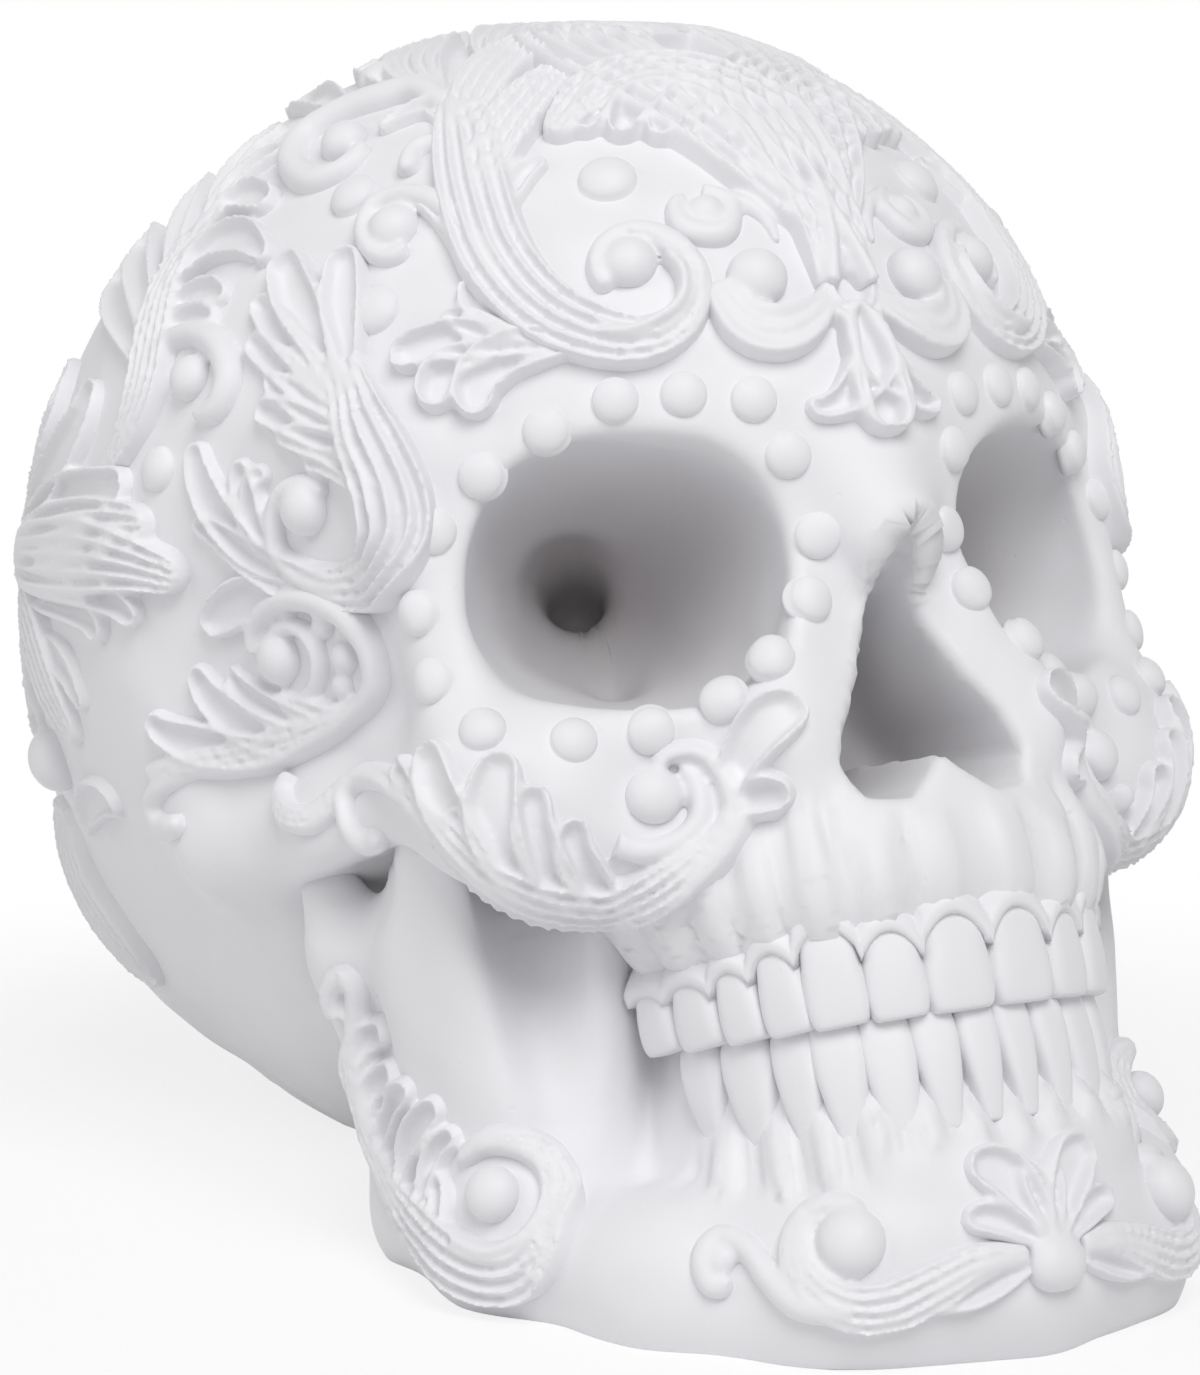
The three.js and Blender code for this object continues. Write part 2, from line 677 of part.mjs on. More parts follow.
// Each ornament is a list of strokes: places, then the widths at the start, middle and end
const scrollStrokes = {
  forehead_scroll: [skullHeart, [
    [[[24, 60], [30, 49], [31.5, 37], [29, socketTop + 10], [22.5, socketTop + 6], [15.5, socketTop + 8],
      [14.5, socketTop + 13], [19, socketTop + 17], [25, socketTop + 15]], stemWidth, bladeWidth, curlWidth],
    [[[25, 60], [21, 52], [22, 45], [25, 40]], stemWidth, lobeWidth, tipWidth],
  ]],
  forehead_disc: [skullHeart, [
    [[[37.5, 36], [39.5, 41.5], [44, 43], [48.5, 41], [49, 36.5], [45, 34]], tipWidth, stemWidth, tipWidth],
  ]],
  brow_spray: [skullHeart, [
    [[[30.5, socketTop + 5], [34, socketTop + 7.5], [38, socketTop + 9], [43, socketTop + 9.5]],
      stemWidth, lobeWidth, tipWidth],
    [[[30.5, socketTop + 5], [34, socketTop + 5], [38, socketTop + 3], [41, socketTop + 0.5]],
      stemWidth, lobeWidth, tipWidth],
  ]],
  temple_leaf: [skullHeart, [
    [[[52, 42], [57, 36], [57, 29], [52, 23], [50, 17], [53, 12.5], [59, 12.5], [64.5, 15.5]],
      startWidth, bladeWidth, startWidth],
    [[[64, 15], [69, 19], [72, 24]], stemWidth, lobeWidth, tipWidth],
    [[[57, 29], [63, 31], [65, 27]], stemWidth, lobeWidth, tipWidth],
    [[[57, 36], [61, 39], [62, 34]], stemWidth, lobeWidth, tipWidth],
  ]],
  lower_temple_scroll: [skullHeart, [
    [[[78, 8], [71, 8.5], [63.5, 6.5], [60, 1], [63, -4.5], [70, -5], [75.5, -1.5]],
      startWidth, stalkWidth, curlWidth],
    [[[70, -5], [79, -6.5], [91, -6]], stemWidth, bladeWidth, tipWidth],
    [[[75.5, -1.5], [82, 0.5], [87, 0]], stemWidth, lobeWidth, tipWidth],
  ]],
  parietal_leaf: [skullHeart, [
    [[[90, 31], [83, 37], [75, 42], [68, 46], [62, 50.5]], stemWidth, leafWidth, tipWidth],
    [[[75, 42], [69, 40], [64, 36]], stemWidth, lobeWidth, tipWidth],
    [[[83, 37], [84, 45], [80, 52]], stemWidth, lobeWidth, tipWidth],
  ]],
  side_fan: [skullHeart, [
    [[[116, 24], [105, 20], [92, 18], [79, 16]], bladeWidth, leafWidth, tipWidth],
    [[[116, 24], [105, 26], [94, 27], [85, 24]], bladeWidth, bladeWidth, tipWidth],
    [[[116, 24], [108, 14], [100, 10], [92, 9]], bladeWidth, bladeWidth, tipWidth],
  ]],
  nape_leaf: [skullHeart, [
    [[[104, 4], [112, -5], [120, -12], [126, -19]], tipWidth, fanWidth, startWidth],
    [[[112, -5], [120, -4], [128, -8]], stemWidth, bladeWidth, tipWidth],
  ]],
  crown_leaf: [skullHeart, [
    [[[37, 54], [42, 58], [50, 60], [58, 58], [57, 52], [51, 50]], stemWidth, stalkWidth, curlWidth],
    [[[46, 59.5], [52, 65], [64, 69], [82, 70]], stemWidth, leafWidth, tipWidth],
    [[[37, 54], [40, 60], [42, 66], [43, 75]], stemWidth, leafWidth, stemWidth],
    [[[42, 66], [32, 68], [22, 71], [12, 74]], stemWidth, leafWidth, stemWidth],
  ]],
  cheek_scroll: [jawHeart, [
    [[[92, 38], [82, 33], [72, 30], [61, 31], [50, 32], [41, 34], [34, 38]],
      startWidth, stalkWidth, tipWidth],
    [[[72, 30], [74, 36], [72, 41]], stemWidth, lobeWidth, tipWidth],
    [[[61, 31], [64, 35], [63, 38]], stemWidth, lobeWidth, tipWidth],
  ]],
  jaw_scroll: [jawHeart, [
    [[[109, 14], [109, 9], [108, 3], [104, -6], [97, -13], [90, -14.5], [86, -9], [88, -3.5], [94, -3]],
      startWidth, stalkWidth, curlWidth],
    [[[108, 3], [103, 8], [100, 13]], stemWidth, lobeWidth, tipWidth],
  ]],
  chin_scroll: [jawHeart, [
    [[[11, -31], [19, -32], [27, -32.5], [36, -31], [44, -27], [51, -23.5], [56, -26]],
      curlWidth, curlWidth, tipWidth],
    [[[36, -31], [39, -25], [35, -20], [28, -20]], curlWidth, curlWidth, tipWidth],
  ]],
};

const middleStrokes = {
  forehead_crest: [skullHeart, [
    [[[0, 31], [0, 42], [0, 53], [0, 66]], stemWidth, leafWidth, stemWidth],
    ...[-1, 1].flatMap((way) => [
      [[[way, 33], [way * 6, 42], [way * 14, 45], [way * 19, 44]], stemWidth, bladeWidth, tipWidth],
      [[[way, 42], [way * 6, 52], [way * 14, 58], [way * 20, 60]], stemWidth, bladeWidth, tipWidth],
    ]),
  ]],
  glabella_palmette: [skullHeart, [
    [[[0, 25], [0, 19], [0, 14.5], [0, 10]], stemWidth, stemWidth, stemWidth],
    ...[-1, 1].flatMap((way) => [
      [[[0, 22], [way * 5, 19.5], [way * 10, 20], [way * 13, 24]], stemWidth, stemWidth, tipWidth],
      [[[0, 19], [way * 2.5, 15], [way * 5.5, 12.5]], stemWidth, stemWidth, tipWidth],
    ]),
  ]],
  chin_flower: [jawHeart, [
    [[[0, -35], [0, -30], [0, -24], [0, -19]], stemWidth, lobeWidth, tipWidth],
    ...[-1, 1].flatMap((way) => [
      [[[0, -31], [way * 5, -26], [way * 9, -21]], stemWidth, lobeWidth, tipWidth],
      [[[0, -31], [way * 8, -27], [way * 16, -23.5]], stemWidth, lobeWidth, tipWidth],
    ]),
  ]],
};

function ornament([heart, strokes], side, cutters, room) {
  let whole = null;
  for (const [places, fromWidth, middleWidth, toWidth] of strokes) {
    const next = stroke(heart, places, fromWidth, middleWidth, toWidth, side, room);
    whole = whole ? whole.add(next) : next;
  }
  for (const cutter of cutters) whole = whole.subtract(cutter);
  return whole;
}

function joined(geometries) {
  let whole = null;
  for (const geometry of geometries) {
    const next = solidOf(geometry);
    whole = whole ? whole.add(next) : next;
  }
  return whole;
}

// Bones with their beads, and the room that each leaves for what sits on it
const sides = [["right", -1], ["left", 1]];
const ground = groundSlab();
const hollows = [orbitHollow(-1), orbitHollow(1), noseHollow()];
const craniumWhole = solidOf(netGeometry(craniumNet)).subtract(ground);
const craniumBare = hollows.reduce((bone, hollow) => bone.subtract(hollow), craniumWhole);
const craniumRoom = solidOf(netGeometry(swollen(craniumNet, craniumField, seatGap)));
const mandibleBare = solidOf(netGeometry(mandibleNet)).subtract(craniumRoom).subtract(ground);
const mandibleRoom = solidOf(netGeometry(swollen(mandibleNet, mandibleField, seatGap)));
const skullBeads = sides.flatMap(([, side]) => craniumBeads(side));
const jawBeads = sides.flatMap(([, side]) => mandibleBeads(side));
const beadRoom = joined([...skullBeads, ...jawBeads].map(([p, radius]) => bead(p, radius + seatGap)));
const craniumSolid = craniumBare.add(joined(skullBeads.map(([p, radius]) => bead(p, radius))));
const mandibleSolid = mandibleBare.add(joined(jawBeads.map(([p, radius]) => bead(p, radius))));

// Assembly: every piece is a named mesh inside the tilted skull
const castWhite = { color: 0xf3f1f2, roughness: 0.62, metalness: 0 };
const skull = new THREE.Group();
skull.rotation.x = -tiltBack;

function addPiece(name, solid) {
  const mesh = new THREE.Mesh(geometryOf(solid), new THREE.MeshStandardMaterial(castWhite));
  mesh.name = name;
  skull.add(mesh);
}
addPiece("cranium", craniumSolid);
addPiece("mandible", mandibleSolid);
const boneRooms = [beadRoom, craniumRoom, mandibleRoom];
const scrollRooms = [];
for (const [sideName, side] of sides) {
  toothRow(upperToothShares, upperRings, 0, side, 0).forEach((tooth, n) => {
    addPiece(`${sideName}_upper_tooth_${n + 1}`, tooth.subtract(craniumRoom).subtract(mandibleRoom));
  });
  toothRow(lowerToothShares, lowerRings, lowerRowInset, side, 0).forEach((tooth, n) => {
    addPiece(`${sideName}_lower_tooth_${n + 1}`, tooth.subtract(craniumRoom).subtract(mandibleRoom));
  });
  const toothRoom = [
    ...toothRow(upperToothShares, upperRings, 0, side, seatGap),
    ...toothRow(lowerToothShares, lowerRings, lowerRowInset, side, seatGap),
  ];
  const sideRooms = [...boneRooms, ...toothRoom];
  for (const [name, design] of Object.entries(scrollStrokes)) {
    const scrollRoom = ornament(design, side, [], seatGap);
    addPiece(`${sideName}_${name}`, ornament(design, side, sideRooms, 0));
    sideRooms.push(scrollRoom);
    scrollRooms.push(scrollRoom);
  }
}
for (const [name, design] of Object.entries(middleStrokes)) {
  addPiece(name, ornament(design, 1, [...boneRooms, ...scrollRooms], 0));
}

// The origin is on the ground, under the middle of the figurine
const figurine = new THREE.Group();
figurine.add(skull);
figurine.updateMatrixWorld(true);
const reach = new THREE.Box3().setFromObject(figurine, true);
const middle = reach.getCenter(new THREE.Vector3());
skull.position.set(-middle.x, -middle.y, -reach.min.z);

export default figurine;
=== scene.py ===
# %% [markdown]
# # A cast skull figurine with scrolls and beads
# The figurine is one white casting, a hand's length long, that rests on its jaw and its nape.
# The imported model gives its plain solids. This lesson dresses them: smooth bones, teeth, beads
# and acanthus scrolls, one cast finish, and a pale studio.

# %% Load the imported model
import math

import bmesh
import bpy
import numpy as np
from mathutils import Matrix, Vector, noise


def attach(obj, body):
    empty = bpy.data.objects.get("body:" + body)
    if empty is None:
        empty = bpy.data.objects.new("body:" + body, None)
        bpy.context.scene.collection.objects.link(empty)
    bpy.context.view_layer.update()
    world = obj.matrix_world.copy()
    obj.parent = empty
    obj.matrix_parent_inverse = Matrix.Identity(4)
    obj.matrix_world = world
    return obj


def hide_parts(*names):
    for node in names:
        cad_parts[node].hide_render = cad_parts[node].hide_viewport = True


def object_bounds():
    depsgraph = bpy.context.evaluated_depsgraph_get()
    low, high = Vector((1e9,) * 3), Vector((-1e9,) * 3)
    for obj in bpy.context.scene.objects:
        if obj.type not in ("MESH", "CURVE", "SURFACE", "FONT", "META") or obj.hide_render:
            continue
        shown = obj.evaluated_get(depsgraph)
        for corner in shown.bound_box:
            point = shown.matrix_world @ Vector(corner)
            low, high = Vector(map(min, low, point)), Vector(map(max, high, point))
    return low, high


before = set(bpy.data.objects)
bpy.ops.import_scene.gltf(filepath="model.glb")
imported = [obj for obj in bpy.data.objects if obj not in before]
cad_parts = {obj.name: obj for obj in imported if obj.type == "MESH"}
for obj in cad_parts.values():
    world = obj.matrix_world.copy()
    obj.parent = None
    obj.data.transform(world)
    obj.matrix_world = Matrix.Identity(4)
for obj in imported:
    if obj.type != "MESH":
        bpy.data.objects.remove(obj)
cad_box = [list(corner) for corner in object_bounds()]
print("CAD box in metres:", cad_box)

# %% [markdown]
# ## Two frames
# The skull was shaped upright, in millimetres, with its origin between the ears, and then tilted
# back until jaw and nape touch the ground. All shaping here is done in that upright frame, where
# left and right mirror across x = 0, and each finished mesh is carried over to the tilted one.

# %% From the upright skull to the tilted figurine
MM = 0.001
TILT_BACK = math.radians(22.2)
REST_HEIGHT = 44.4
REST_SHIFT = 4.682
HALF_WIDTH, FACE_REACH, JAW_DROP = 65.0, 80.0, 80.0
UPRIGHT_TO_REST = (
    Matrix.Scale(MM, 4)
    @ Matrix.Translation((0, REST_SHIFT, REST_HEIGHT))
    @ Matrix.Rotation(-TILT_BACK, 4, "X")
)
REST_TO_UPRIGHT = UPRIGHT_TO_REST.inverted()


def carried(points, matrix):
    """The same points through a 4 x 4 matrix."""
    m = np.array(matrix)
    return np.asarray(points, float) @ m[:3, :3].T + m[:3, 3]


def unit(vectors):
    """The same directions, each of length one."""
    return vectors / np.maximum(np.linalg.norm(vectors, axis=-1, keepdims=True), 1e-9)


def at(width_share, reach_share, drop_share):
    """A place in millimetres, from shares of the skull's three driving sizes."""
    return np.array([width_share * HALF_WIDTH, reach_share * FACE_REACH, drop_share * JAW_DROP])


# %% [markdown]
# ## The skull as blended masses
# A carver blocks a skull out as egg shapes and tapering bars that flow into each other. Each mass
# here answers how far a point lies from its skin, less than nothing inside. Two answers are
# blended by taking the smaller one and rounding the join, which no single mesh operator can do.

# %% Masses and how they blend
def egg(centre_share, radii_share):
    """An egg shape, by its centre and its half sizes."""
    centre, radii = at(*centre_share), at(*radii_share)

    def away(p):
        q = (p - centre) / radii
        k0 = np.linalg.norm(q, axis=1)
        k1 = np.linalg.norm(q / radii, axis=1)
        return k0 * (k0 - 1) / np.maximum(k1, 1e-9)

    return away


def bar(from_share, to_share, from_radius, to_radius):
    """A round bar between two places, whose radius may taper."""
    a, b = at(*from_share), at(*to_share)
    d = b - a

    def away(p):
        t = np.clip((p - a) @ d / (d @ d), 0, 1)
        return np.linalg.norm(p - a - t[:, None] * d, axis=1) - from_radius - t * (to_radius - from_radius)

    return away


def blend_min(a, b, width):
    """The smaller of two answers, its join rounded over a width in millimetres."""
    h = np.maximum(width - np.abs(a - b), 0) / width
    return np.minimum(a, b) - h * h * width / 4


def blend_max(a, b, width):
    return -blend_min(-a, -b, width)


# How widely two masses flow into each other, in millimetres.
BROAD, SOFT, FINE = 14.0, 7.0, 4.0

# %% [markdown]
# ## Sockets and nose
# The sockets are rounded squares that close in like funnels, and the nose is an upside-down heart
# whose two lobes are below. Both are hollows, so they are masses that are taken away, with a
# softened rim as on the casting.

# %% The hollows of the face
ORBIT_AT, ORBIT_TIP = at(0.42, -0.815, 0.13), at(0.28, -0.46, 0.14)
ORBIT_WIDTH, ORBIT_HEIGHT, ORBIT_DEPTH, ORBIT_TIP_WIDTH = 34.0, 29.0, 27.0, 9.0
ORBIT_ROLL, ORBIT_SQUARENESS, ORBIT_NARROWING = math.radians(-14), 2.45, 2.1
RIM_FLARE, RIM_FLARE_OVER = 0.10, 6
SOCKET_RIM, NOSE_RIM = 1.3, 0.9

ORBIT_INWARD = (ORBIT_TIP - ORBIT_AT) / np.linalg.norm(ORBIT_TIP - ORBIT_AT)
upward = np.array([0, 0, 1.0]) - ORBIT_INWARD[2] * ORBIT_INWARD
upward /= np.linalg.norm(upward)
sideways = -np.cross(ORBIT_INWARD, upward)
ORBIT_U = sideways * math.cos(ORBIT_ROLL) + upward * math.sin(ORBIT_ROLL)
ORBIT_V = upward * math.cos(ORBIT_ROLL) - sideways * math.sin(ORBIT_ROLL)


def socket_hollow(p):
    """A funnel of rounded squares, from the rim to the tip."""
    q = p - ORBIT_AT
    deep = (q @ ORBIT_INWARD) / ORBIT_DEPTH
    narrowing = 1 - np.clip(deep, 0, 1) ** ORBIT_NARROWING
    flare = 1 + RIM_FLARE * np.clip(-deep * ORBIT_DEPTH / RIM_FLARE_OVER, 0, 1)
    half_w = (ORBIT_TIP_WIDTH + (ORBIT_WIDTH - ORBIT_TIP_WIDTH) * narrowing) / 2 * flare
    half_h = (ORBIT_TIP_WIDTH + (ORBIT_HEIGHT - ORBIT_TIP_WIDTH) * narrowing) / 2 * flare
    a = np.abs((q @ ORBIT_U) / half_w) ** ORBIT_SQUARENESS
    b = np.abs((q @ ORBIT_V) / half_h) ** ORBIT_SQUARENESS
    ring = ((a + b) ** (1 / ORBIT_SQUARENESS) - 1) * np.minimum(half_w, half_h)
    return blend_max(ring, (deep - 1) * ORBIT_DEPTH, FINE)


NOSE_WIDTH, NOSE_HEIGHT, NOSE_DEPTH, NOSE_TAPER = 25.0, 24.0, 24.0, 0.4
NOSE_FRONT, NOSE_MIDDLE = -0.96 * FACE_REACH, -0.055 * JAW_DROP
NOSE_OUTLINE_SHARES = np.array(
    [[0, 0.62], [0.09, 0.48], [0.17, 0.24], [0.29, -0.02], [0.42, -0.24], [0.48, -0.42], [0.41, -0.58], [0.22, -0.6],
     [0.1, -0.5], [0, -0.4]]
)


def nose_hollow(p):
    """The nose's outline, seen from the front, pushed back into the bone and made smaller as it goes."""
    deep = (p[:, 1] - NOSE_FRONT) / NOSE_DEPTH
    scale = 1 - NOSE_TAPER * np.clip(deep, 0, 1)
    q = np.stack([p[:, 0] / scale, (p[:, 2] - NOSE_MIDDLE) / scale], axis=1)
    half = NOSE_OUTLINE_SHARES * [NOSE_WIDTH, NOSE_HEIGHT]
    outline = np.vstack([half, (half[1:-1] * [-1, 1])[::-1]])
    nearest = np.full(len(q), 1e9)
    inside = np.zeros(len(q), bool)
    for a, b in zip(outline, np.roll(outline, -1, axis=0)):
        d = b - a
        t = np.clip((q - a) @ d / (d @ d), 0, 1)
        nearest = np.minimum(nearest, np.linalg.norm(q - a - t[:, None] * d, axis=1))
        crosses = (a[1] > q[:, 1]) != (b[1] > q[:, 1])
        with np.errstate(divide="ignore", invalid="ignore"):
            x_at = a[0] + (q[:, 1] - a[1]) / (b[1] - a[1]) * (b[0] - a[0])
        inside ^= crosses & (q[:, 0] < x_at)
    heart = np.where(inside, -nearest, nearest)
    return blend_max(heart, (deep - 1) * NOSE_DEPTH, FINE)


# %% [markdown]
# ## The two bones
# The cranium is the brain case with its brow, cheekbones, arches and upper jaw, and the mandible
# is the chin with its border and two branches. Every mass is given for the left side and counts
# for both, because each point is folded over to x > 0 before it is asked.

# %% Cranium and mandible masses
CRANIUM = [
    (egg([0, 0.0375, 0.365], [0.97, 0.98, 0.825]), BROAD),
    (egg([0, -0.425, 0.4], [0.6, 0.5, 0.45]), SOFT),
    (egg([0, 0.56, 0.12], [0.74, 0.45, 0.48]), BROAD),
    (egg([0, 0.1, -0.22], [0.58, 0.59, 0.31]), BROAD),
    (bar([0.12, -0.82, 0.33], [0.58, -0.64, 0.37], 4.5, 4.5), SOFT),
    (egg([0, -0.84, 0.3], [0.16, 0.1, 0.14]), SOFT),
    (bar([0.655, -0.61, 0.36], [0.645, -0.625, -0.05], 5.4, 5.4), FINE),
    (egg([0.53, -0.66, -0.14], [0.18, 0.12, 0.14]), SOFT),
    (bar([0.4, -0.72, -0.22], [0.61, -0.57, -0.15], 5.8, 5.8), SOFT),
    (bar([0.63, -0.6, -0.08], [0.77, -0.34, -0.07], 5.8, 5.8), SOFT),
    (bar([0.77, -0.34, -0.07], [0.8, -0.08, -0.04], 5.8, 5.8), SOFT),
    (egg([0, -0.7, -0.16], [0.43, 0.24, 0.33]), SOFT),
    (egg([0, -0.675, -0.28], [0.41, 0.295, 0.155]), SOFT),
    (bar([0, -0.85, 0.27], [0, -0.975, 0.09], 5.4, 4.6), SOFT),
    (bar([0.14, -0.825, 0.15], [0.235, -0.865, -0.14], 5.4, 5.4), FINE),
    (bar([0.22, -0.825, -0.06], [0.52, -0.7, -0.075], 5.0, 5.0), FINE),
]
CRANIUM_DENTS = [
    (egg([0.95, -0.45, 0.1], [0.13, 0.26, 0.26]), BROAD),
    (egg([0.66, -0.32, -0.31], [0.18, 0.24, 0.16]), SOFT),
    (egg([0.44, -0.92, -0.19], [0.1, 0.08, 0.1]), SOFT),
]
MANDIBLE = [
    (bar([0, -0.824, -0.876], [0.26, -0.75, -0.845], 8.5, 8.5), SOFT),
    (bar([0.26, -0.75, -0.845], [0.43, -0.6, -0.784], 8.5, 8.5), SOFT),
    (bar([0.43, -0.6, -0.784], [0.56, -0.39, -0.7], 8.5, 8.5), SOFT),
    (bar([0.56, -0.39, -0.7], [0.592, -0.2, -0.63], 8.5, 6.0), SOFT),
    (bar([0.6, -0.2, -0.6], [0.715, -0.235, -0.15], 6.0, 3.2), SOFT),
    (bar([0.68, -0.24, -0.25], [0.64, -0.38, -0.22], 4.0, 4.0), SOFT),
    (bar([0.56, -0.44, -0.6], [0.63, -0.5, -0.16], 6.0, 4.6), SOFT),
    (bar([0.58, -0.32, -0.6], [0.68, -0.42, -0.16], 6.0, 4.6), SOFT),
    (egg([0, -0.825, -0.82], [0.31, 0.125, 0.125]), SOFT),
    (egg([0, -0.625, -0.72], [0.385, 0.325, 0.15]), SOFT),
    (egg([0, -0.5625, -0.525], [0.33, 0.34, 0.3]), FINE),
    (egg([0.46, -0.38, -0.5], [0.15, 0.17, 0.28]), FINE),
    (egg([0.44, -0.44, -0.33], [0.13, 0.15, 0.22]), FINE),
]
MANDIBLE_DENTS = [
    (egg([0.8, -0.37, -0.13], [0.12, 0.12, 0.13]), FINE),
    (bar([0.53, -0.53, -0.1], [0.555, -0.57, -0.53], 7.2, 2.4), FINE),
]
UPPER_RIDGE_SHARES = [
    [0, -0.885, -0.33], [0.128, -0.869, -0.33], [0.194, -0.8375, -0.325], [0.244, -0.77, -0.32], [0.28, -0.681, -0.31],
    [0.305, -0.57, -0.3],
]
LOWER_RIDGE_SHARES = [
    [0, -0.8475, -0.68], [0.122, -0.831, -0.68], [0.16, -0.8125, -0.675], [0.2, -0.7575, -0.665],
    [0.235, -0.6725, -0.655], [0.26, -0.5625, -0.635],
]
UPPER_RIDGE, LOWER_RIDGE, LOWER_WALL = 7.5, 7.4, 5.4
# The lower roots stand against a wall, a little inside and above their ridge.
LOWER_WALL_SHARES = [[0.97 * x, 0.98 * y, z + 0.09] for x, y, z in LOWER_RIDGE_SHARES]


def ridge(places, radius):
    """A ridge of bone that carries a row of teeth."""
    return [(bar(a, b, radius, radius), FINE) for a, b in zip(places, places[1:])]


CRANIUM += ridge(UPPER_RIDGE_SHARES, UPPER_RIDGE)
MANDIBLE += ridge(LOWER_RIDGE_SHARES, LOWER_RIDGE)
MANDIBLE += ridge(LOWER_WALL_SHARES, LOWER_WALL)
GROUND_NORMAL = np.array(Matrix.Rotation(TILT_BACK, 3, "X") @ Vector((0, 0, 1)))


def above_ground(p):
    """How high the upright skull's points stand over the ground that it rests on when tilted."""
    return p @ GROUND_NORMAL + REST_HEIGHT


def body(masses, dents):
    """The skin of masses that flow together, less the dents and hollows."""

    def away(points):
        p = np.array(points, float)
        p[:, 0] = np.abs(p[:, 0])
        d = masses[0][0](p)
        for mass, width in masses[1:]:
            d = blend_min(d, mass(p), width)
        for dent, width in dents:
            d = blend_max(d, -dent(p), width)
        return d

    return away


bare_cranium = body(CRANIUM, CRANIUM_DENTS)
mandible_skin = body(MANDIBLE, MANDIBLE_DENTS)
print("the cranium is blocked out from", len(CRANIUM), "masses and the mandible from", len(MANDIBLE))


def whole_skin(p):
    """The skin of both bones, without sockets and nose, so that a scroll may cross a rim."""
    return np.minimum(bare_cranium(p), mandible_skin(p))


SLOPE_STEP, LEAST_SLOPE = 0.05, 0.5


def slope(skin, p):
    """Which way, and how fast, the distance to the skin grows at each point."""
    g = np.empty_like(p)
    for axis in range(3):
        shift = np.zeros(3)
        shift[axis] = SLOPE_STEP
        g[:, axis] = (skin(p + shift) - skin(p - shift)) / (2 * SLOPE_STEP)
    return g


def settled(skin, p, rounds, ease=1.0):
    """Points walked down the slope until they lie on the skin."""
    p = np.array(p, float)
    for _ in range(rounds):
        g = slope(skin, p)
        steep = np.maximum(np.linalg.norm(g, axis=1), LEAST_SLOPE)
        p -= ease * g * (skin(p) / steep**2)[:, None]
    return p


# %% [markdown]
# ## Fine forms on the bones
# The casting shows more than the blocked-out skull: the upper roots push through the jaw as soft
# ridges, bone stands between the lower roots, and each socket ends in a dark cleft. The ridges
# are relief on the skin, worked out from how far along the tooth row a point lies. The cleft and
# the notch beside it are two more bars that are taken away.

# %% The tooth row
TOOTH_ROW_SHARES = np.array(
    [[0, -0.972], [0.14, -0.955], [0.275, -0.895], [0.345, -0.8], [0.385, -0.7], [0.41, -0.585]]
)
UPPER_WIDTHS = [8, 6.6, 6.6, 5.7, 5.6, 7, 6.4]
LOWER_WIDTHS = [5, 5.4, 6, 6, 6, 7.4, 7]
BITE_DROP, BITE_RISE = 41.4, 3.0
CURVE_STEPS = 40


def curve_through(points, count):
    """A smooth curve through the points, at even steps (a Catmull-Rom spline)."""
    p = np.asarray(points, float)
    p = np.vstack([2 * p[0] - p[1], p, 2 * p[-1] - p[-2]])
    dense = []
    for i in range(1, len(p) - 2):
        t = np.linspace(0, 1, CURVE_STEPS, endpoint=False)[:, None]
        a, b, c, d = p[i - 1], p[i], p[i + 1], p[i + 2]
        dense.append(
            0.5 * (2 * b + (c - a) * t + (2 * a - 5 * b + 4 * c - d) * t**2 + (3 * b - a - 3 * c + d) * t**3)
        )
    dense = np.vstack(dense + [p[-2:-1]])
    length = np.concatenate([[0], np.cumsum(np.linalg.norm(np.diff(dense, axis=0), axis=1))])
    steps = np.linspace(0, length[-1], count)
    return np.stack([np.interp(steps, length, dense[:, k]) for k in range(dense.shape[1])], axis=1)


row_places = TOOTH_ROW_SHARES * [HALF_WIDTH, FACE_REACH]
ROW_CURVE = curve_through(np.column_stack([row_places, np.zeros(len(row_places))]), 400)
ROW_LENGTH = np.linalg.norm(np.diff(ROW_CURVE, axis=0), axis=1).sum()


def row_place(length):
    """A place on the tooth row's curve, the way along the row and the way out of the mouth there."""
    i = min(length / ROW_LENGTH, 1) * (len(ROW_CURVE) - 1)
    lo = int(min(i, len(ROW_CURVE) - 2))
    along = ROW_CURVE[lo + 1] - ROW_CURVE[lo]
    along /= np.linalg.norm(along)
    out = np.array([along[1], -along[0], 0])
    place = ROW_CURVE[lo] + (ROW_CURVE[lo + 1] - ROW_CURVE[lo]) * (i - lo)
    place[0] = max(place[0], 0)
    return place, along, out


def joints_between(widths):
    """Where each tooth of a row starts, and where the last one ends."""
    return np.concatenate([[0], np.cumsum(widths)])


print("half a tooth row is", round(ROW_LENGTH, 1), "mm long")

# %% Relief over the roots
ROW_CENTRE = -0.5 * FACE_REACH
ROW_TURNS = np.arctan2(ROW_CURVE[:, 0], ROW_CENTRE - ROW_CURVE[:, 1])
ROW_LENGTHS = np.linspace(0, ROW_LENGTH, len(ROW_TURNS))
GUM_LINE = 9.0
ROOT_RISES = np.array([14.0, 12.0, 17.0, 14.0, 13.0, 11.0, 9.0])
ROOT_RELIEF, ROOT_FADE = 1.3, 5.0
NICHE_RELIEF, NICHE_START, NICHE_END, NICHE_UNEVENNESS = 1.5, 5, 15.5, 1.5
NICHE_FADE, NICHE_END_FADE, NICHE_BACK, NICHE_BACK_FADE = 5, 3, -48, 6


def eased(x):
    """A slow start and a slow end between 0 and 1."""
    x = np.clip(x, 0, 1)
    return x * x * (3 - 2 * x)


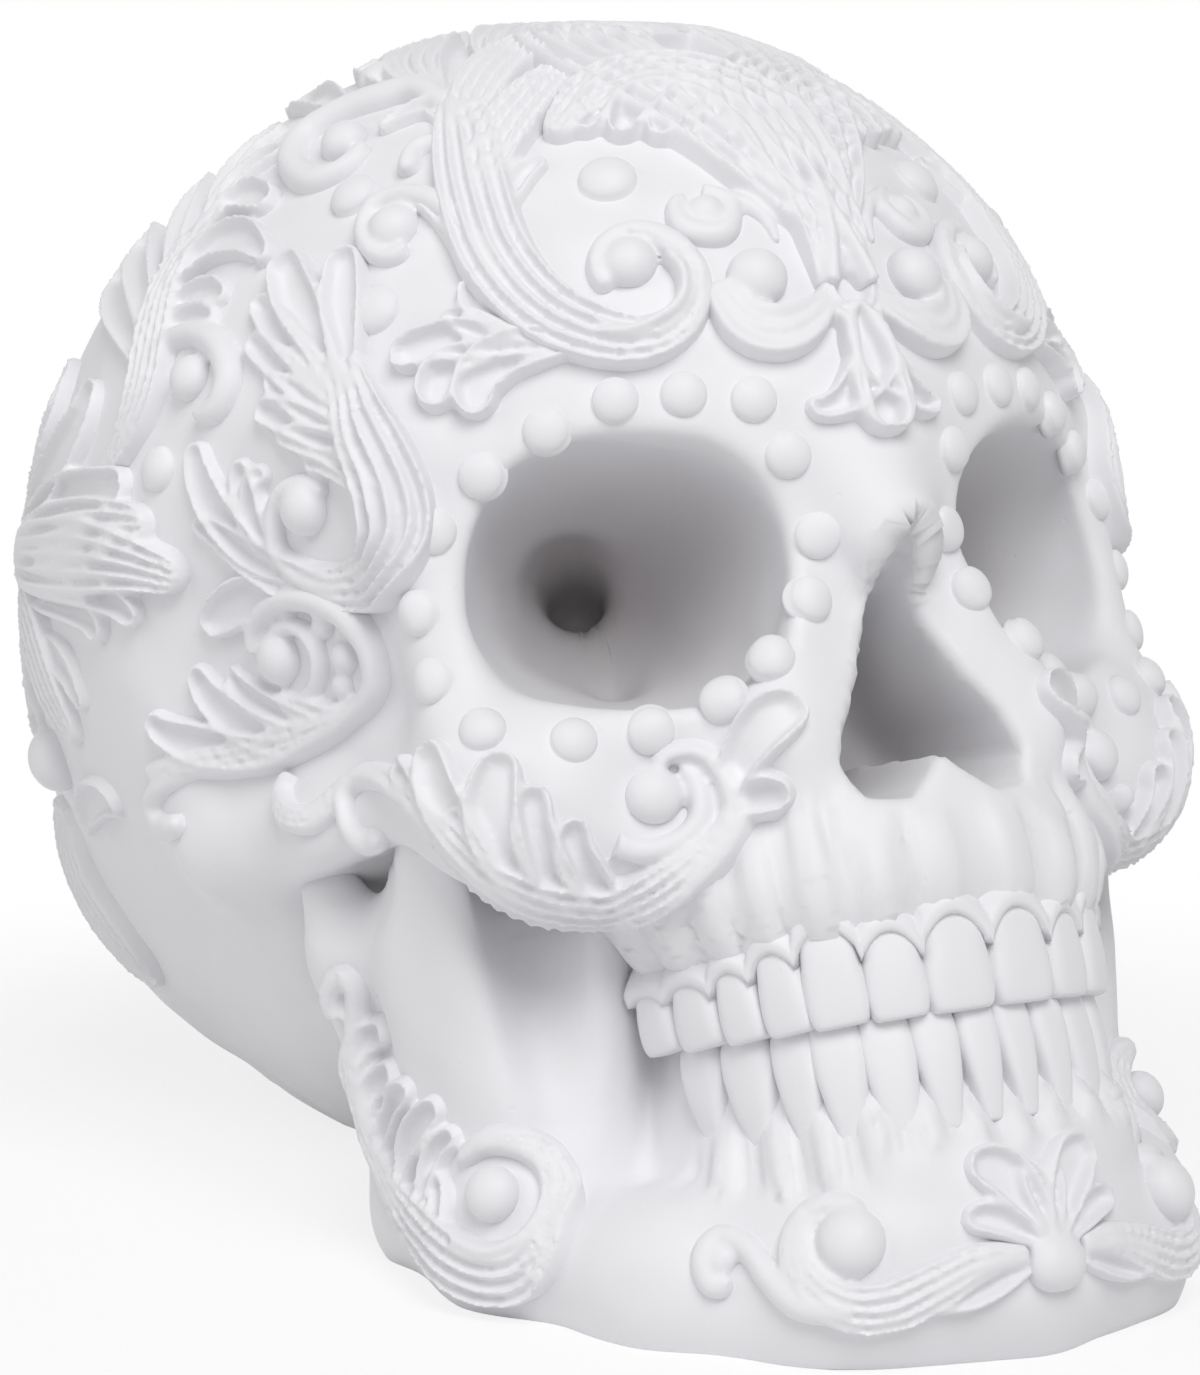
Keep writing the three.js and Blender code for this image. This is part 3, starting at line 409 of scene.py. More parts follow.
def beside_tooth(p, joints):
    """The tooth that each point lies beside, and how far across it, from 0 to 1."""
    length = np.interp(np.arctan2(np.abs(p[:, 0]), ROW_CENTRE - p[:, 1]), ROW_TURNS, ROW_LENGTHS)
    n = np.clip(np.searchsorted(joints, length, side="right") - 1, 0, len(joints) - 2)
    return n, (length - joints[n]) / (joints[n + 1] - joints[n])


def rooted(skin):
    """The same skin with an upright ridge over each upper tooth's root."""
    joints = joints_between(UPPER_WIDTHS)

    def away(p):
        n, share = beside_tooth(p, joints)
        above = p[:, 2] + BITE_DROP - GUM_LINE
        fade = np.clip(above / 2 + 0.5, 0, 1) * np.clip((ROOT_RISES[n] - above) / ROOT_FADE, 0, 1)
        fade *= p[:, 1] < ROW_CENTRE - 4
        root = np.abs(np.sin(np.pi * share)) ** 1.5 - 0.55 + 0.16 * np.sin(6 * np.pi * share + n)
        return skin(p) - ROOT_RELIEF * root * eased(fade)

    return away


def niched(skin):
    """The same skin with bone that stands between the lower roots."""
    joints = joints_between(LOWER_WIDTHS)
    joints[-1] = ROW_LENGTH

    def away(p):
        n, share = beside_tooth(p, joints)
        down = -BITE_DROP - p[:, 2]
        end = NICHE_END + NICHE_UNEVENNESS * np.sin(5 * n)
        fade = np.clip((down - NICHE_START) / NICHE_FADE, 0, 1) * np.clip((end - down) / NICHE_END_FADE, 0, 1)
        fade *= np.clip((NICHE_BACK - p[:, 1]) / NICHE_BACK_FADE, 0, 1)
        wall = 0.6 - np.abs(np.sin(np.pi * share)) ** 1.2 + 0.12 * np.sin(7 * np.pi * share + 3 * n)
        return skin(p) - NICHE_RELIEF * wall * eased(fade)

    return away


# %% The finished skins
jaw_skin = niched(mandible_skin)
socket_cleft = bar([0.33, -0.53, 0.21], [0.25, -0.41, 0.18], 4.0, 3.2)
socket_notch = bar([0.32, -0.555, 0.13], [0.3, -0.545, 0.04], 3.0, 1.8)
FACE_HOLLOWS = [(socket_hollow, SOCKET_RIM), (nose_hollow, NOSE_RIM), (socket_cleft, FINE), (socket_notch, FINE)]
cranium_skin = rooted(body(CRANIUM, CRANIUM_DENTS + FACE_HOLLOWS))
print("the face has", len(FACE_HOLLOWS), "kinds of hollow")

# %% [markdown]
# ## From the CAD solid to a smooth bone
# A copy of each CAD bone is merged and rebuilt with even small faces by the Remesh modifier.
# That mesh has the right holes and walls already, only faceted, so its points are evened out
# with smooth_vert and walked onto the blended masses, which takes every facet away. Slow waves of
# a third of a millimetre keep the skin from looking machined, and what would pass the packed
# model's box is pressed in.

# %% Meshes in and out
def new_piece(name, bm):
    """A new object from a bmesh, at the origin."""
    mesh = bpy.data.meshes.new(name)
    bm.to_mesh(mesh)
    bm.free()
    piece = bpy.data.objects.new(name, mesh)
    bpy.context.scene.collection.objects.link(piece)
    return piece


def applied(piece):
    """Bakes the modifiers of a piece into its mesh."""
    graph = bpy.context.evaluated_depsgraph_get()
    done = bpy.data.meshes.new_from_object(piece.evaluated_get(graph))
    piece.modifiers.clear()
    piece.data = done
    return piece


def rebuilt(piece, face_size):
    """The same piece, rebuilt with even small faces."""
    even = piece.modifiers.new("even faces", "REMESH")
    even.mode = "VOXEL"
    even.voxel_size = face_size
    even.use_smooth_shade = True
    return applied(piece)


def even_out(bm, times):
    """Moves each point towards the middle of its neighbours, a number of times."""
    for _ in range(times):
        bmesh.ops.smooth_vert(bm, verts=bm.verts, factor=0.5, use_axis_x=True, use_axis_y=True, use_axis_z=True)


def face_out(bm):
    """Turns all faces outwards, by the points' new places, and shades them smooth."""
    bm.normal_update()
    bmesh.ops.recalc_face_normals(bm, faces=bm.faces)
    for face in bm.faces:
        face.smooth = True


def place_points(verts, points):
    for vert, point in zip(verts, points):
        vert.co = point


def mesh_points(mesh):
    flat = np.empty(len(mesh.vertices) * 3)
    mesh.vertices.foreach_get("co", flat)
    return flat.reshape(-1, 3)


def set_mesh_points(mesh, points):
    mesh.vertices.foreach_set("co", np.ascontiguousarray(points, float).ravel())
    mesh.update()


BOX_EASE = 0.8 * MM


def kept_inside(points):
    """The tilted figurine's points, eased in where they would pass the CAD box at its sides, back or top."""
    low, high = np.array(cad_box)
    over = np.maximum(points - high + BOX_EASE, 0)
    points = points - over + BOX_EASE * (1 - np.exp(-over / BOX_EASE))
    over = np.maximum(low[0] + BOX_EASE - points[:, 0], 0)
    points[:, 0] += over - BOX_EASE * (1 - np.exp(-over / BOX_EASE))
    return points


# %% Smooth bones
# Painted shade: at this depth in millimetres under the outer skin, in the sockets and the nose, the painted shade is
# full.
PAINTED_SHADE_DEPTH = 24.0
WAVE_LENGTH, WAVE_HEIGHT = 7.0, 0.35
SAME_PLACE = 0.002 * MM


def mark_painted_shade(piece):
    """Writes how deep each point lies under the skull's outer skin, from 0 to 1, as the mask of the painted shade in
    sockets and nose.
    """
    points = carried(mesh_points(piece.data), REST_TO_UPRIGHT)
    depth = np.clip(-whole_skin(points) / PAINTED_SHADE_DEPTH, 0, 1)
    piece.data.attributes.new("painted_shade", "FLOAT", "POINT").data.foreach_set("value", depth.astype(np.float32))


def out_of_ground(points):
    return points - np.minimum(above_ground(points), 0)[:, None] * GROUND_NORMAL


def smooth_bone(name, node, face_size, skin, rounds, fillers=()):
    """A copy of a CAD bone, rebuilt and walked onto its skin, that stands for the CAD node."""
    bm = bmesh.new()
    bm.from_mesh(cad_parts[node].data)
    bmesh.ops.remove_doubles(bm, verts=bm.verts, dist=SAME_PLACE)
    bmesh.ops.transform(bm, matrix=REST_TO_UPRIGHT, verts=bm.verts)
    for share, radius in fillers:
        for side in (-1, 1):
            place = Matrix.Translation(Vector(at(*share)) * Vector((side, 1, 1)))
            bmesh.ops.create_icosphere(bm, subdivisions=2, radius=radius, matrix=place)
    piece = rebuilt(new_piece(name, bm), face_size)
    for _ in range(rounds):
        bm = bmesh.new()
        bm.from_mesh(piece.data)
        even_out(bm, 2)
        bm.to_mesh(piece.data)
        bm.free()
        set_mesh_points(piece.data, out_of_ground(settled(skin, mesh_points(piece.data), rounds=1)))
    points = settled(skin, mesh_points(piece.data), rounds=2, ease=0.8)
    waves = [WAVE_HEIGHT * noise.noise(Vector(p / WAVE_LENGTH)) for p in points]
    points = out_of_ground(points + unit(slope(skin, points)) * np.array(waves)[:, None])
    set_mesh_points(piece.data, kept_inside(carried(points, UPRIGHT_TO_REST)))
    mark_painted_shade(piece)
    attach(piece, "root")
    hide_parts(node)
    print(name, "has", len(piece.data.polygons), "faces")
    return piece


cranium = smooth_bone("cranium_bone", "cranium", 1.05, cranium_skin, 7)
# Balls that thicken the jaw's branches, so that the rebuilt mesh doesn't fall in where they are thin.
BRANCH_FILLERS = [
    ([0.712, -0.24, -0.17], 3.0), ([0.7, -0.245, -0.22], 3.4), ([0.68, -0.28, -0.25], 3.4),
    ([0.67, -0.32, -0.25], 3.6), ([0.66, -0.36, -0.24], 3.6), ([0.66, -0.26, -0.33], 4.0), ([0.65, -0.32, -0.34], 4.0),
]
mandible = smooth_bone("mandible_bone", "mandible", 0.7, jaw_skin, 8, BRANCH_FILLERS)

# %% [markdown]
# ## Where the photograph sees the skull
# The scrolls follow the photograph, so they are drawn on it as short lists of pixels. Each pixel
# is a sight line from the camera. It is followed until it meets the skin, so a scroll always lies
# on the bone that carries it, and the far side is the mirrored near side.

# %% Camera
PHOTO_WIDTH, PHOTO_HEIGHT, FOCAL_PIXELS = 1200, 1375, 3500
CAMERA_TURN, CAMERA_RISE, CAMERA_AWAY = math.radians(-28.92), math.radians(7.8), 0.418
CAMERA_TARGET = Vector((-0.0078, -0.01044, 0.06027))
back = Vector(
    (
        math.sin(CAMERA_TURN) * math.cos(CAMERA_RISE),
        -math.cos(CAMERA_TURN) * math.cos(CAMERA_RISE),
        math.sin(CAMERA_RISE),
    )
)
SENSOR_WIDTH = 36
camera_data = bpy.data.cameras.new("camera")
camera_data.sensor_width = SENSOR_WIDTH
camera_data.lens = FOCAL_PIXELS * SENSOR_WIDTH / PHOTO_HEIGHT
camera_data.clip_start = 0.01
camera = bpy.data.objects.new("camera", camera_data)
bpy.context.scene.collection.objects.link(camera)
camera.location = CAMERA_TARGET + back * CAMERA_AWAY
camera.rotation_euler = back.to_track_quat("Z", "Y").to_euler()
bpy.context.scene.camera = camera
CAMERA_TO_UPRIGHT = REST_TO_UPRIGHT @ Matrix.LocRotScale(camera.location, camera.rotation_euler, None)


SIGHT_START, SIGHT_STEPS, SIGHT_CAUTION, LEAST_STEP = 300.0, 70, 0.8, 0.02


def seen_on_skin(pixels):
    """Places on the skin behind pixels of the photograph, or the nearest that the line passes."""
    px = np.asarray(pixels, float)
    rays = np.column_stack(
        [(px[:, 0] - PHOTO_WIDTH / 2) / FOCAL_PIXELS, (PHOTO_HEIGHT / 2 - px[:, 1]) / FOCAL_PIXELS, -np.ones(len(px))]
    )
    eye = carried(np.zeros((1, 3)), CAMERA_TO_UPRIGHT)[0]
    rays = unit(carried(rays, CAMERA_TO_UPRIGHT) - eye)
    gone = np.full(len(px), SIGHT_START)
    nearest, best = np.full(len(px), 1e9), gone.copy()
    for _ in range(SIGHT_STEPS):
        away = whole_skin(eye + rays * gone[:, None])
        closer = away < nearest
        nearest, best = np.where(closer, away, nearest), np.where(closer, gone, best)
        gone = gone + np.maximum(away * SIGHT_CAUTION, LEAST_STEP)
    return settled(whole_skin, eye + rays * best[:, None], rounds=4)


middle_pixel = (PHOTO_WIDTH // 2, PHOTO_HEIGHT // 2)
print("the middle of the photograph is at", seen_on_skin([middle_pixel])[0].round(1))

# %% [markdown]
# ## Strokes of clay
# On the real model each scroll was pressed or carved as strokes: round stalks, leaves with
# flutes, spoon-shaped lobes with a raised rim, and balls. Here a stroke is a grid, thickened to
# a closed strip, whose points are laid along a route on the skin and raised by its section. Laid
# together they are fused by the Remesh modifier and softened, as a mould softens them.

# %% The sections of a stroke
RIM, HOLLOW, FLUTES = 0.7, 0.82, 5


def spread(values, s):
    """Given values at even places, read smoothly at s from 0 to 1."""
    knots = np.column_stack([np.linspace(0, 1, len(values)), values])
    smooth = curve_through(knots, 80)
    return np.interp(s, smooth[:, 0], smooth[:, 1])


# Each section answers how high a stroke stands, from u, which runs from -1 to 1 across it, from
# the millimetres to its edge, and from its height in the middle.
def stalk(u, edge, high):
    return high * np.sqrt(np.clip(1 - u * u, 0, 1))


def spoon(u, edge, high):
    return high * np.sqrt(eased(edge / RIM)) * (1 - HOLLOW * eased((edge - 0.75 * RIM) / (1.6 * RIM)))


def fluted(u, edge, high):
    return high * np.sqrt(eased(edge / RIM)) * (0.68 + 0.32 * np.cos(FLUTES * np.pi * u))


def blade(u, edge, high):
    return high * np.sqrt(eased(edge / RIM)) * (0.45 + 0.55 * np.abs(u) ** 0.7 + 0.35 * np.exp(-((u / 0.16) ** 2)))


SECTIONS = {"stalk": stalk, "spoon": spoon, "fluted": fluted, "blade": blade}
print("sections:", ", ".join(SECTIONS))

# %% One stroke and one ball
STROKE_STEP, STROKE_ACROSS, LEAST_STEPS, ROUTE_SPOTS = 0.6, 30, 10, 40
STROKE_SINK, FOOT_DROP, LEAST_HALF_WIDTH = 1.3, 0.25, 0.35
BALL_SUNK, BALL_FLAT = 0.45, 0.85


def add_stroke(bm, kind, pixels, widths, heights):
    """A closed strip along a route on the skin, raised by its section and rounded at its tip."""
    spots = curve_through(seen_on_skin(pixels), ROUTE_SPOTS)
    length = np.linalg.norm(np.diff(spots, axis=0), axis=1).sum()
    steps = max(int(length / STROKE_STEP), LEAST_STEPS)
    route = settled(whole_skin, curve_through(spots, steps), rounds=2)
    before = len(bm.verts)
    sheet = bmesh.ops.create_grid(bm, x_segments=STROKE_ACROSS, y_segments=steps, size=1)
    faces = list({face for vert in sheet["verts"] for face in vert.link_faces})
    under = bmesh.ops.extrude_face_region(bm, geom=faces)
    low = [item for item in under["geom"] if isinstance(item, bmesh.types.BMVert)]
    bmesh.ops.translate(bm, verts=low, vec=(0, 0, -1))
    bm.verts.ensure_lookup_table()
    strip = bm.verts[before:]
    plan = np.array([vert.co for vert in strip])
    u, s, top = plan[:, 0], (plan[:, 1] + 1) / 2, plan[:, 2] > -0.5
    half = np.maximum(spread(widths, s) / 2, LEAST_HALF_WIDTH)
    to_tip = (1 - s) * length
    half = half * np.sqrt(np.clip(1 - np.clip(1 - to_tip / np.maximum(half, 0.4), 0, 1) ** 2, 0.02, 1))
    index = s * (len(route) - 1)
    lo = np.minimum(index.astype(int), len(route) - 2)
    part = (index - lo)[:, None]
    tangents = unit(np.gradient(route, axis=0))
    normals = unit(slope(whole_skin, route))
    centre = route[lo] * (1 - part) + route[lo + 1] * part
    along = tangents[lo] * (1 - part) + tangents[lo + 1] * part
    normal = normals[lo] * (1 - part) + normals[lo + 1] * part
    aside = unit(np.cross(along, normal))
    foot = settled(whole_skin, centre + aside * (u * half)[:, None], rounds=2)
    out = unit(slope(whole_skin, foot))
    edge = np.minimum((1 - np.abs(u)) * half, to_tip + 0.02)
    rise = SECTIONS[kind](u, edge, spread(heights, s)) - FOOT_DROP
    place_points(strip, foot + out * np.where(top, rise, -STROKE_SINK)[:, None])


def add_ball(bm, pixel, radius):
    """A ball of clay, a little flattened and pressed into the skin."""
    spot = seen_on_skin([pixel])
    out = unit(slope(whole_skin, spot))[0]
    turn = Vector(out).to_track_quat("Z", "Y").to_matrix().to_4x4()
    centre = Matrix.Translation(spot[0] + out * radius * BALL_FLAT * (1 - 2 * BALL_SUNK))
    place = centre @ turn @ Matrix.Diagonal((1, 1, BALL_FLAT, 1))
    bmesh.ops.create_uvsphere(bm, u_segments=28, v_segments=18, radius=radius, matrix=place)


# %% One ornament, fused and softened
ORNAMENT_FACE, SOFTENING = 0.35, 4
SPECK_POINTS = 100


def drop_specks(bm):
    """Deletes the loose specks of a few points that a rebuild leaves."""
    seen, specks = set(), []
    for start in bm.verts:
        if start in seen:
            continue
        seen.add(start)
        island = [start]
        for vert in island:  # the island grows while it is walked
            for edge in vert.link_edges:
                other = edge.other_vert(vert)
                if other not in seen:
                    seen.add(other)
                    island.append(other)
        if len(island) < SPECK_POINTS:
            specks += island
    bmesh.ops.delete(bm, geom=specks, context="VERTS")


def mirror_image(bm):
    """Turns a mesh into its mirror image across x = 0, its faces still outwards."""
    bmesh.ops.transform(bm, matrix=Matrix.Scale(-1, 4, (1, 0, 0)), verts=bm.verts)
    bmesh.ops.reverse_faces(bm, faces=bm.faces)


def fused(name, parts, both_halves):
    """Strokes and balls laid together, fused to one closed mesh and softened."""
    bm = bmesh.new()
    for kind, *facts in parts:
        if kind == "ball":
            add_ball(bm, *facts)
        else:
            add_stroke(bm, kind, *facts)
    bmesh.ops.recalc_face_normals(bm, faces=bm.faces)
    if both_halves:
        half = bm.copy()
        mirror_image(half)
        mirrored = bpy.data.meshes.new("half")
        half.to_mesh(mirrored)
        half.free()
        bm.from_mesh(mirrored)
        bpy.data.meshes.remove(mirrored)
    piece = rebuilt(new_piece(name, bm), ORNAMENT_FACE)
    bm = bmesh.new()
    bm.from_mesh(piece.data)
    drop_specks(bm)
    even_out(bm, SOFTENING)
    face_out(bm)
    bm.to_mesh(piece.data)
    bm.free()
    return piece


def finished(piece, node):
    """Carries a piece to the tilted figurine, hangs it on the root and hides its CAD node, if it has one."""
    set_mesh_points(piece.data, kept_inside(carried(mesh_points(piece.data), UPRIGHT_TO_REST)))
    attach(piece, "root")
    if node:
        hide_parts(node)
    return piece


def mirrored_piece(piece, name):
    """The left piece from the right one, before either is finished."""
    bm = bmesh.new()
    bm.from_mesh(piece.data)
    mirror_image(bm)
    return new_piece(name, bm)


# %% [markdown]
# ## The ornaments, stroke by stroke
# Every stroke is a kind of section, its route in pixels from stem to tip, and then its widths and
# its heights in millimetres at even places from stem to tip. A ball has its pixel and its radius.

# %% Forehead and temple
side_ornaments, middle_ornaments = {}, {}
side_ornaments["forehead_scroll"] = [
    ("fluted", [(454, 96), (466, 140), (478, 200), (500, 262), (540, 312), (590, 340), (640, 348), (680, 330),
     (694, 290), (676, 256), (643, 240), (610, 248), (597, 276), (612, 298)], (3, 8, 9, 8.5, 7, 4.5, 3.2, 2.4),
     (1.6, 2.4, 2.8, 3, 3, 2.6, 2.2, 1.8)),
    ("spoon", [(520, 322), (492, 290), (468, 250), (440, 218), (418, 204)], (3, 4.6, 3.4, 2.4),
     (1.6, 2.2, 2, 1.6)),
    ("fluted", [(470, 140), (489, 90), (520, 60), (556, 44)], (4, 8, 9, 6), (1.8, 2.4, 2.6, 2.2)),
    ("fluted", [(486, 200), (505, 150), (532, 112), (566, 82), (602, 72)], (4, 7.5, 7, 4), (2, 2.6, 2.6, 2)),
    ("spoon", [(498, 240), (512, 205), (528, 180), (548, 165)], (2, 4, 3.4), (1.4, 1.8, 1.5)),
    ("stalk", [(600, 344), (640, 340), (676, 318), (682, 288), (664, 262)], (1.2, 1.8, 1.8, 1.4),
     (3.2, 3.6, 3.4, 2.6)),
    ("ball", (630, 270), 3),
]
side_ornaments["forehead_disc"] = [
    ("stalk", [(486, 256), (462, 228), (436, 208), (408, 203), (382, 213), (370, 236), (376, 257), (396, 264),
     (414, 253)], (2.6, 3.2, 2.8, 2.6, 2.2), (1.6, 2.2, 2.3, 2.2, 1.8)),
    ("ball", (398, 235), 3),
]
side_ornaments["brow_spray"] = [
    ("spoon", [(582, 348), (540, 354), (504, 368), (482, 394), (486, 424)], (3.4, 5.4, 6.4, 4.6),
     (2.2, 2.8, 3.2, 2.8)),
    ("spoon", [(560, 350), (510, 350), (464, 350), (426, 356), (396, 366)], (3, 5, 6, 4.4), (2, 2.6, 2.8, 2.2)),
    ("spoon", [(500, 362), (468, 368), (446, 388), (438, 420)], (3, 4.6, 5.4, 4), (2, 2.6, 3, 2.6)),
    ("spoon", [(560, 346), (520, 334), (486, 312), (470, 284)], (2.6, 4.4, 5, 3.2), (1.8, 2.3, 2.3, 1.8)),
    ("spoon", [(530, 346), (494, 338), (462, 326), (444, 330)], (2.6, 4, 4.2, 3), (1.6, 2.1, 2, 1.6)),
]
side_ornaments["temple_leaf"] = [
    ("fluted", [(352, 368), (366, 412), (386, 455), (402, 500), (405, 542), (388, 574), (352, 586), (312, 574)],
     (5, 7, 8.5, 9, 8, 6, 4), (2.2, 2.8, 3.2, 3.4, 3.2, 2.6, 2)),
    ("stalk", [(352, 588), (318, 580), (290, 554), (282, 520), (290, 492), (312, 482), (334, 492)],
     (2.6, 2.6, 2.4, 2.2, 2), (2.2, 2.3, 2.2, 2, 1.6)),
    ("spoon", [(356, 400), (354, 350), (352, 300), (352, 254)], (2.6, 5, 6, 4.4), (2, 2.6, 2.8, 2.2)),
    ("spoon", [(352, 400), (330, 350), (306, 304), (290, 262)], (2.6, 5, 6.4, 5), (2, 2.6, 2.8, 2.4)),
    ("spoon", [(354, 404), (322, 372), (290, 336), (262, 304)], (2.4, 4.4, 4.8, 3.2), (1.8, 2.3, 2.3, 1.8)),
    ("spoon", [(360, 420), (324, 398), (288, 368), (254, 344)], (2.4, 4.2, 4.6, 3), (1.8, 2.2, 2.2, 1.6)),
    ("spoon", [(366, 436), (332, 418), (300, 398), (274, 382)], (2.4, 4, 4.4, 3), (1.8, 2.3, 2.3, 1.8)),
    ("spoon", [(376, 458), (340, 438), (300, 420), (264, 412)], (2.4, 4.4, 4.8, 3.2), (2, 2.6, 2.6, 2)),
    ("spoon", [(386, 478), (352, 454), (318, 442), (286, 436)], (2.4, 4.2, 4.2, 2.8), (2.2, 2.8, 2.6, 2)),
    ("spoon", [(396, 500), (366, 472), (338, 462), (314, 464)], (2.4, 4, 4, 2.8), (2.4, 2.8, 2.6, 2)),
    ("spoon", [(360, 590), (306, 578), (258, 552), (222, 528), (198, 520)], (3, 5.4, 6, 5, 3),
     (2, 2.5, 2.6, 2.2, 1.6)),
    ("spoon", [(304, 576), (262, 546), (228, 508), (208, 470), (204, 440)], (3, 5, 6, 5.4, 3.4),
     (1.8, 2.4, 2.5, 2.2, 1.6)),
    ("spoon", [(290, 562), (268, 530), (256, 494), (246, 456)], (2.6, 4.6, 5, 3.4), (1.6, 2.1, 2.1, 1.6)),
    ("spoon", [(280, 540), (262, 510), (262, 480), (278, 470)], (2, 3.6, 3.6, 2.4), (1.4, 1.8, 1.8, 1.4)),
    ("ball", (312, 508), 3.1),
]
side_ornaments["lower_temple_scroll"] = [
    ("stalk", [(262, 652), (264, 622), (288, 600), (322, 598), (356, 614), (380, 646), (384, 682), (366, 708),
     (336, 714)], (2.4, 3, 3.4, 3.6, 3.4, 3), (1.8, 2.4, 2.7, 2.8, 2.6, 2)),
    ("stalk", [(276, 640), (292, 626), (314, 630), (328, 654), (324, 684), (306, 700)], (1.8, 2, 2, 2, 1.8),
     (1.6, 2, 2.2, 2, 1.6)),
    ("spoon", [(318, 586), (286, 588), (252, 598), (226, 616), (214, 632)], (1.8, 4, 6, 6, 4),
     (1.4, 2, 2.4, 2.4, 1.8)),
    ("fluted", [(376, 700), (346, 722), (300, 744), (240, 758), (190, 762), (152, 770)],
     (2.6, 4.4, 5.6, 5, 4, 2.4), (2.4, 2.8, 2.6, 2.4, 2, 1.4)),
    ("spoon", [(352, 720), (310, 738), (262, 724), (222, 696), (200, 662)], (2.4, 4.6, 5.6, 5.6, 3.6),
     (2, 2.6, 2.7, 2.4, 1.8)),
    ("spoon", [(326, 734), (280, 750), (228, 746), (180, 732), (154, 712)], (2.4, 4.4, 5.6, 5.6, 3.4),
     (2, 2.6, 2.7, 2.4, 1.8)),
    ("spoon", [(354, 716), (322, 722), (280, 706), (250, 684), (236, 664)], (2, 4, 4.6, 4.4, 3),
     (2, 2.4, 2.4, 2.2, 1.6)),
    ("spoon", [(366, 706), (340, 712), (310, 706), (286, 694)], (1.8, 3.2, 3.4, 2.4), (2, 2.4, 2.2, 1.6)),
    ("stalk", [(230, 762), (194, 772), (168, 784), (158, 804), (168, 826), (190, 826)],
     (1.4, 2.4, 3, 3, 3.2, 3), (0.9, 1.3, 1.7, 2, 2.2, 1.9)),
    ("ball", (288, 657), 3.1),
    ("ball", (352, 656), 1.9),
    ("ball", (350, 684), 1.6),
    ("ball", (330, 624), 1.6),
]
print(len(side_ornaments), "kinds of ornament so far")

# %% Side, nape and crown
side_ornaments["parietal_leaf"] = [
    ("fluted", [(112, 474), (140, 432), (158, 386), (166, 338), (176, 292), (200, 250), (236, 208)],
     (3.4, 6, 7.6, 7.6, 7, 6, 4), (1.6, 2.4, 2.8, 2.8, 2.6, 2.4, 1.8)),
    ("stalk", [(150, 400), (164, 366), (182, 344), (206, 338), (228, 352), (236, 382), (224, 410), (204, 418)],
     (2.4, 3, 3.2, 3.6, 4, 4, 3.6, 2.6), (1.6, 2.2, 2.4, 2.4, 2.5, 2.4, 2.2, 1.8)),
    ("spoon", [(176, 300), (196, 274), (226, 250), (254, 246), (270, 260), (262, 270)],
     (2.4, 4.6, 6, 6, 4.4, 3), (2, 2.5, 2.7, 2.7, 2.4, 1.8)),
    ("spoon", [(172, 322), (194, 304), (216, 296), (234, 302)], (2, 4, 4.4, 3), (1.8, 2.2, 2.2, 1.6)),
    ("spoon", [(170, 342), (188, 328), (206, 320), (224, 322)], (2, 3.6, 3.6, 2.4), (1.6, 2, 2, 1.5)),
    ("spoon", [(196, 262), (222, 226), (250, 204), (278, 208)], (2.4, 4.6, 5.6, 4), (1.8, 2.4, 2.6, 2)),
    ("spoon", [(164, 352), (156, 312), (148, 272), (150, 236)], (2.4, 5, 6.6, 5.4), (1.8, 2.4, 2.6, 2.2)),
    ("spoon", [(160, 386), (142, 346), (126, 308), (124, 272)], (2.4, 5, 6.4, 5), (1.6, 2.3, 2.5, 2.2)),
    ("spoon", [(180, 284), (184, 250), (194, 216), (212, 182)], (2.4, 4.6, 5.4, 3.6), (1.8, 2.3, 2.4, 1.8)),
    ("spoon", [(206, 240), (232, 200), (262, 170), (292, 152)], (2.4, 4.6, 5, 3.4), (1.6, 2.2, 2.2, 1.8)),
    ("spoon", [(214, 226), (232, 186), (256, 154), (290, 128)], (2.4, 4.6, 5.4, 4), (1.4, 2, 2.1, 1.8)),
    ("ball", (197, 381), 2.8),
]
side_ornaments["side_fan"] = [
    ("spoon", [(16, 548), (50, 520), (94, 500), (138, 486)], (4, 7, 8.4, 5), (2, 2.6, 3, 2.4)),
    ("fluted", [(16, 552), (64, 538), (112, 528), (162, 524)], (4, 8, 9, 5), (2.2, 2.9, 3.2, 2.6)),
    ("fluted", [(16, 554), (70, 556), (134, 560), (196, 574)], (4, 9, 10, 5), (2.4, 3.2, 3.6, 3)),
    ("spoon", [(18, 560), (70, 574), (118, 594), (150, 620)], (4, 7, 7, 3.6), (2.2, 2.8, 3, 2.4)),
    ("spoon", [(22, 566), (60, 588), (96, 612), (112, 640)], (4, 7, 7, 4), (1.8, 2.4, 2.6, 2.2)),
    ("spoon", [(30, 530), (58, 480), (86, 430), (104, 380)], (3.4, 8, 10, 7), (1.6, 2.4, 2.6, 2.2)),
    ("spoon", [(22, 536), (36, 480), (58, 420), (80, 360)], (3.4, 8, 10, 7), (1.4, 2.2, 2.4, 2)),
]
side_ornaments["nape_leaf"] = [
    ("fluted", [(24, 570), (42, 630), (62, 690), (86, 742)], (4, 9, 10, 5), (1.6, 2.4, 2.6, 2)),
    ("spoon", [(20, 600), (26, 650), (34, 696), (48, 722)], (3, 7, 8, 5), (1.4, 2.2, 2.4, 2)),
    ("spoon", [(50, 640), (70, 660), (84, 690), (90, 712)], (3, 5, 5, 3), (1.4, 2, 2, 1.6)),
    ("fluted", [(66, 800), (88, 870), (124, 930), (166, 984)], (6, 12, 12, 6), (1.8, 2.6, 2.6, 2)),
    ("spoon", [(88, 826), (98, 800), (114, 796), (126, 816)], (3, 5, 6, 4), (1.4, 2.2, 2.6, 2)),
    ("ball", (60, 758), 4.2),
]
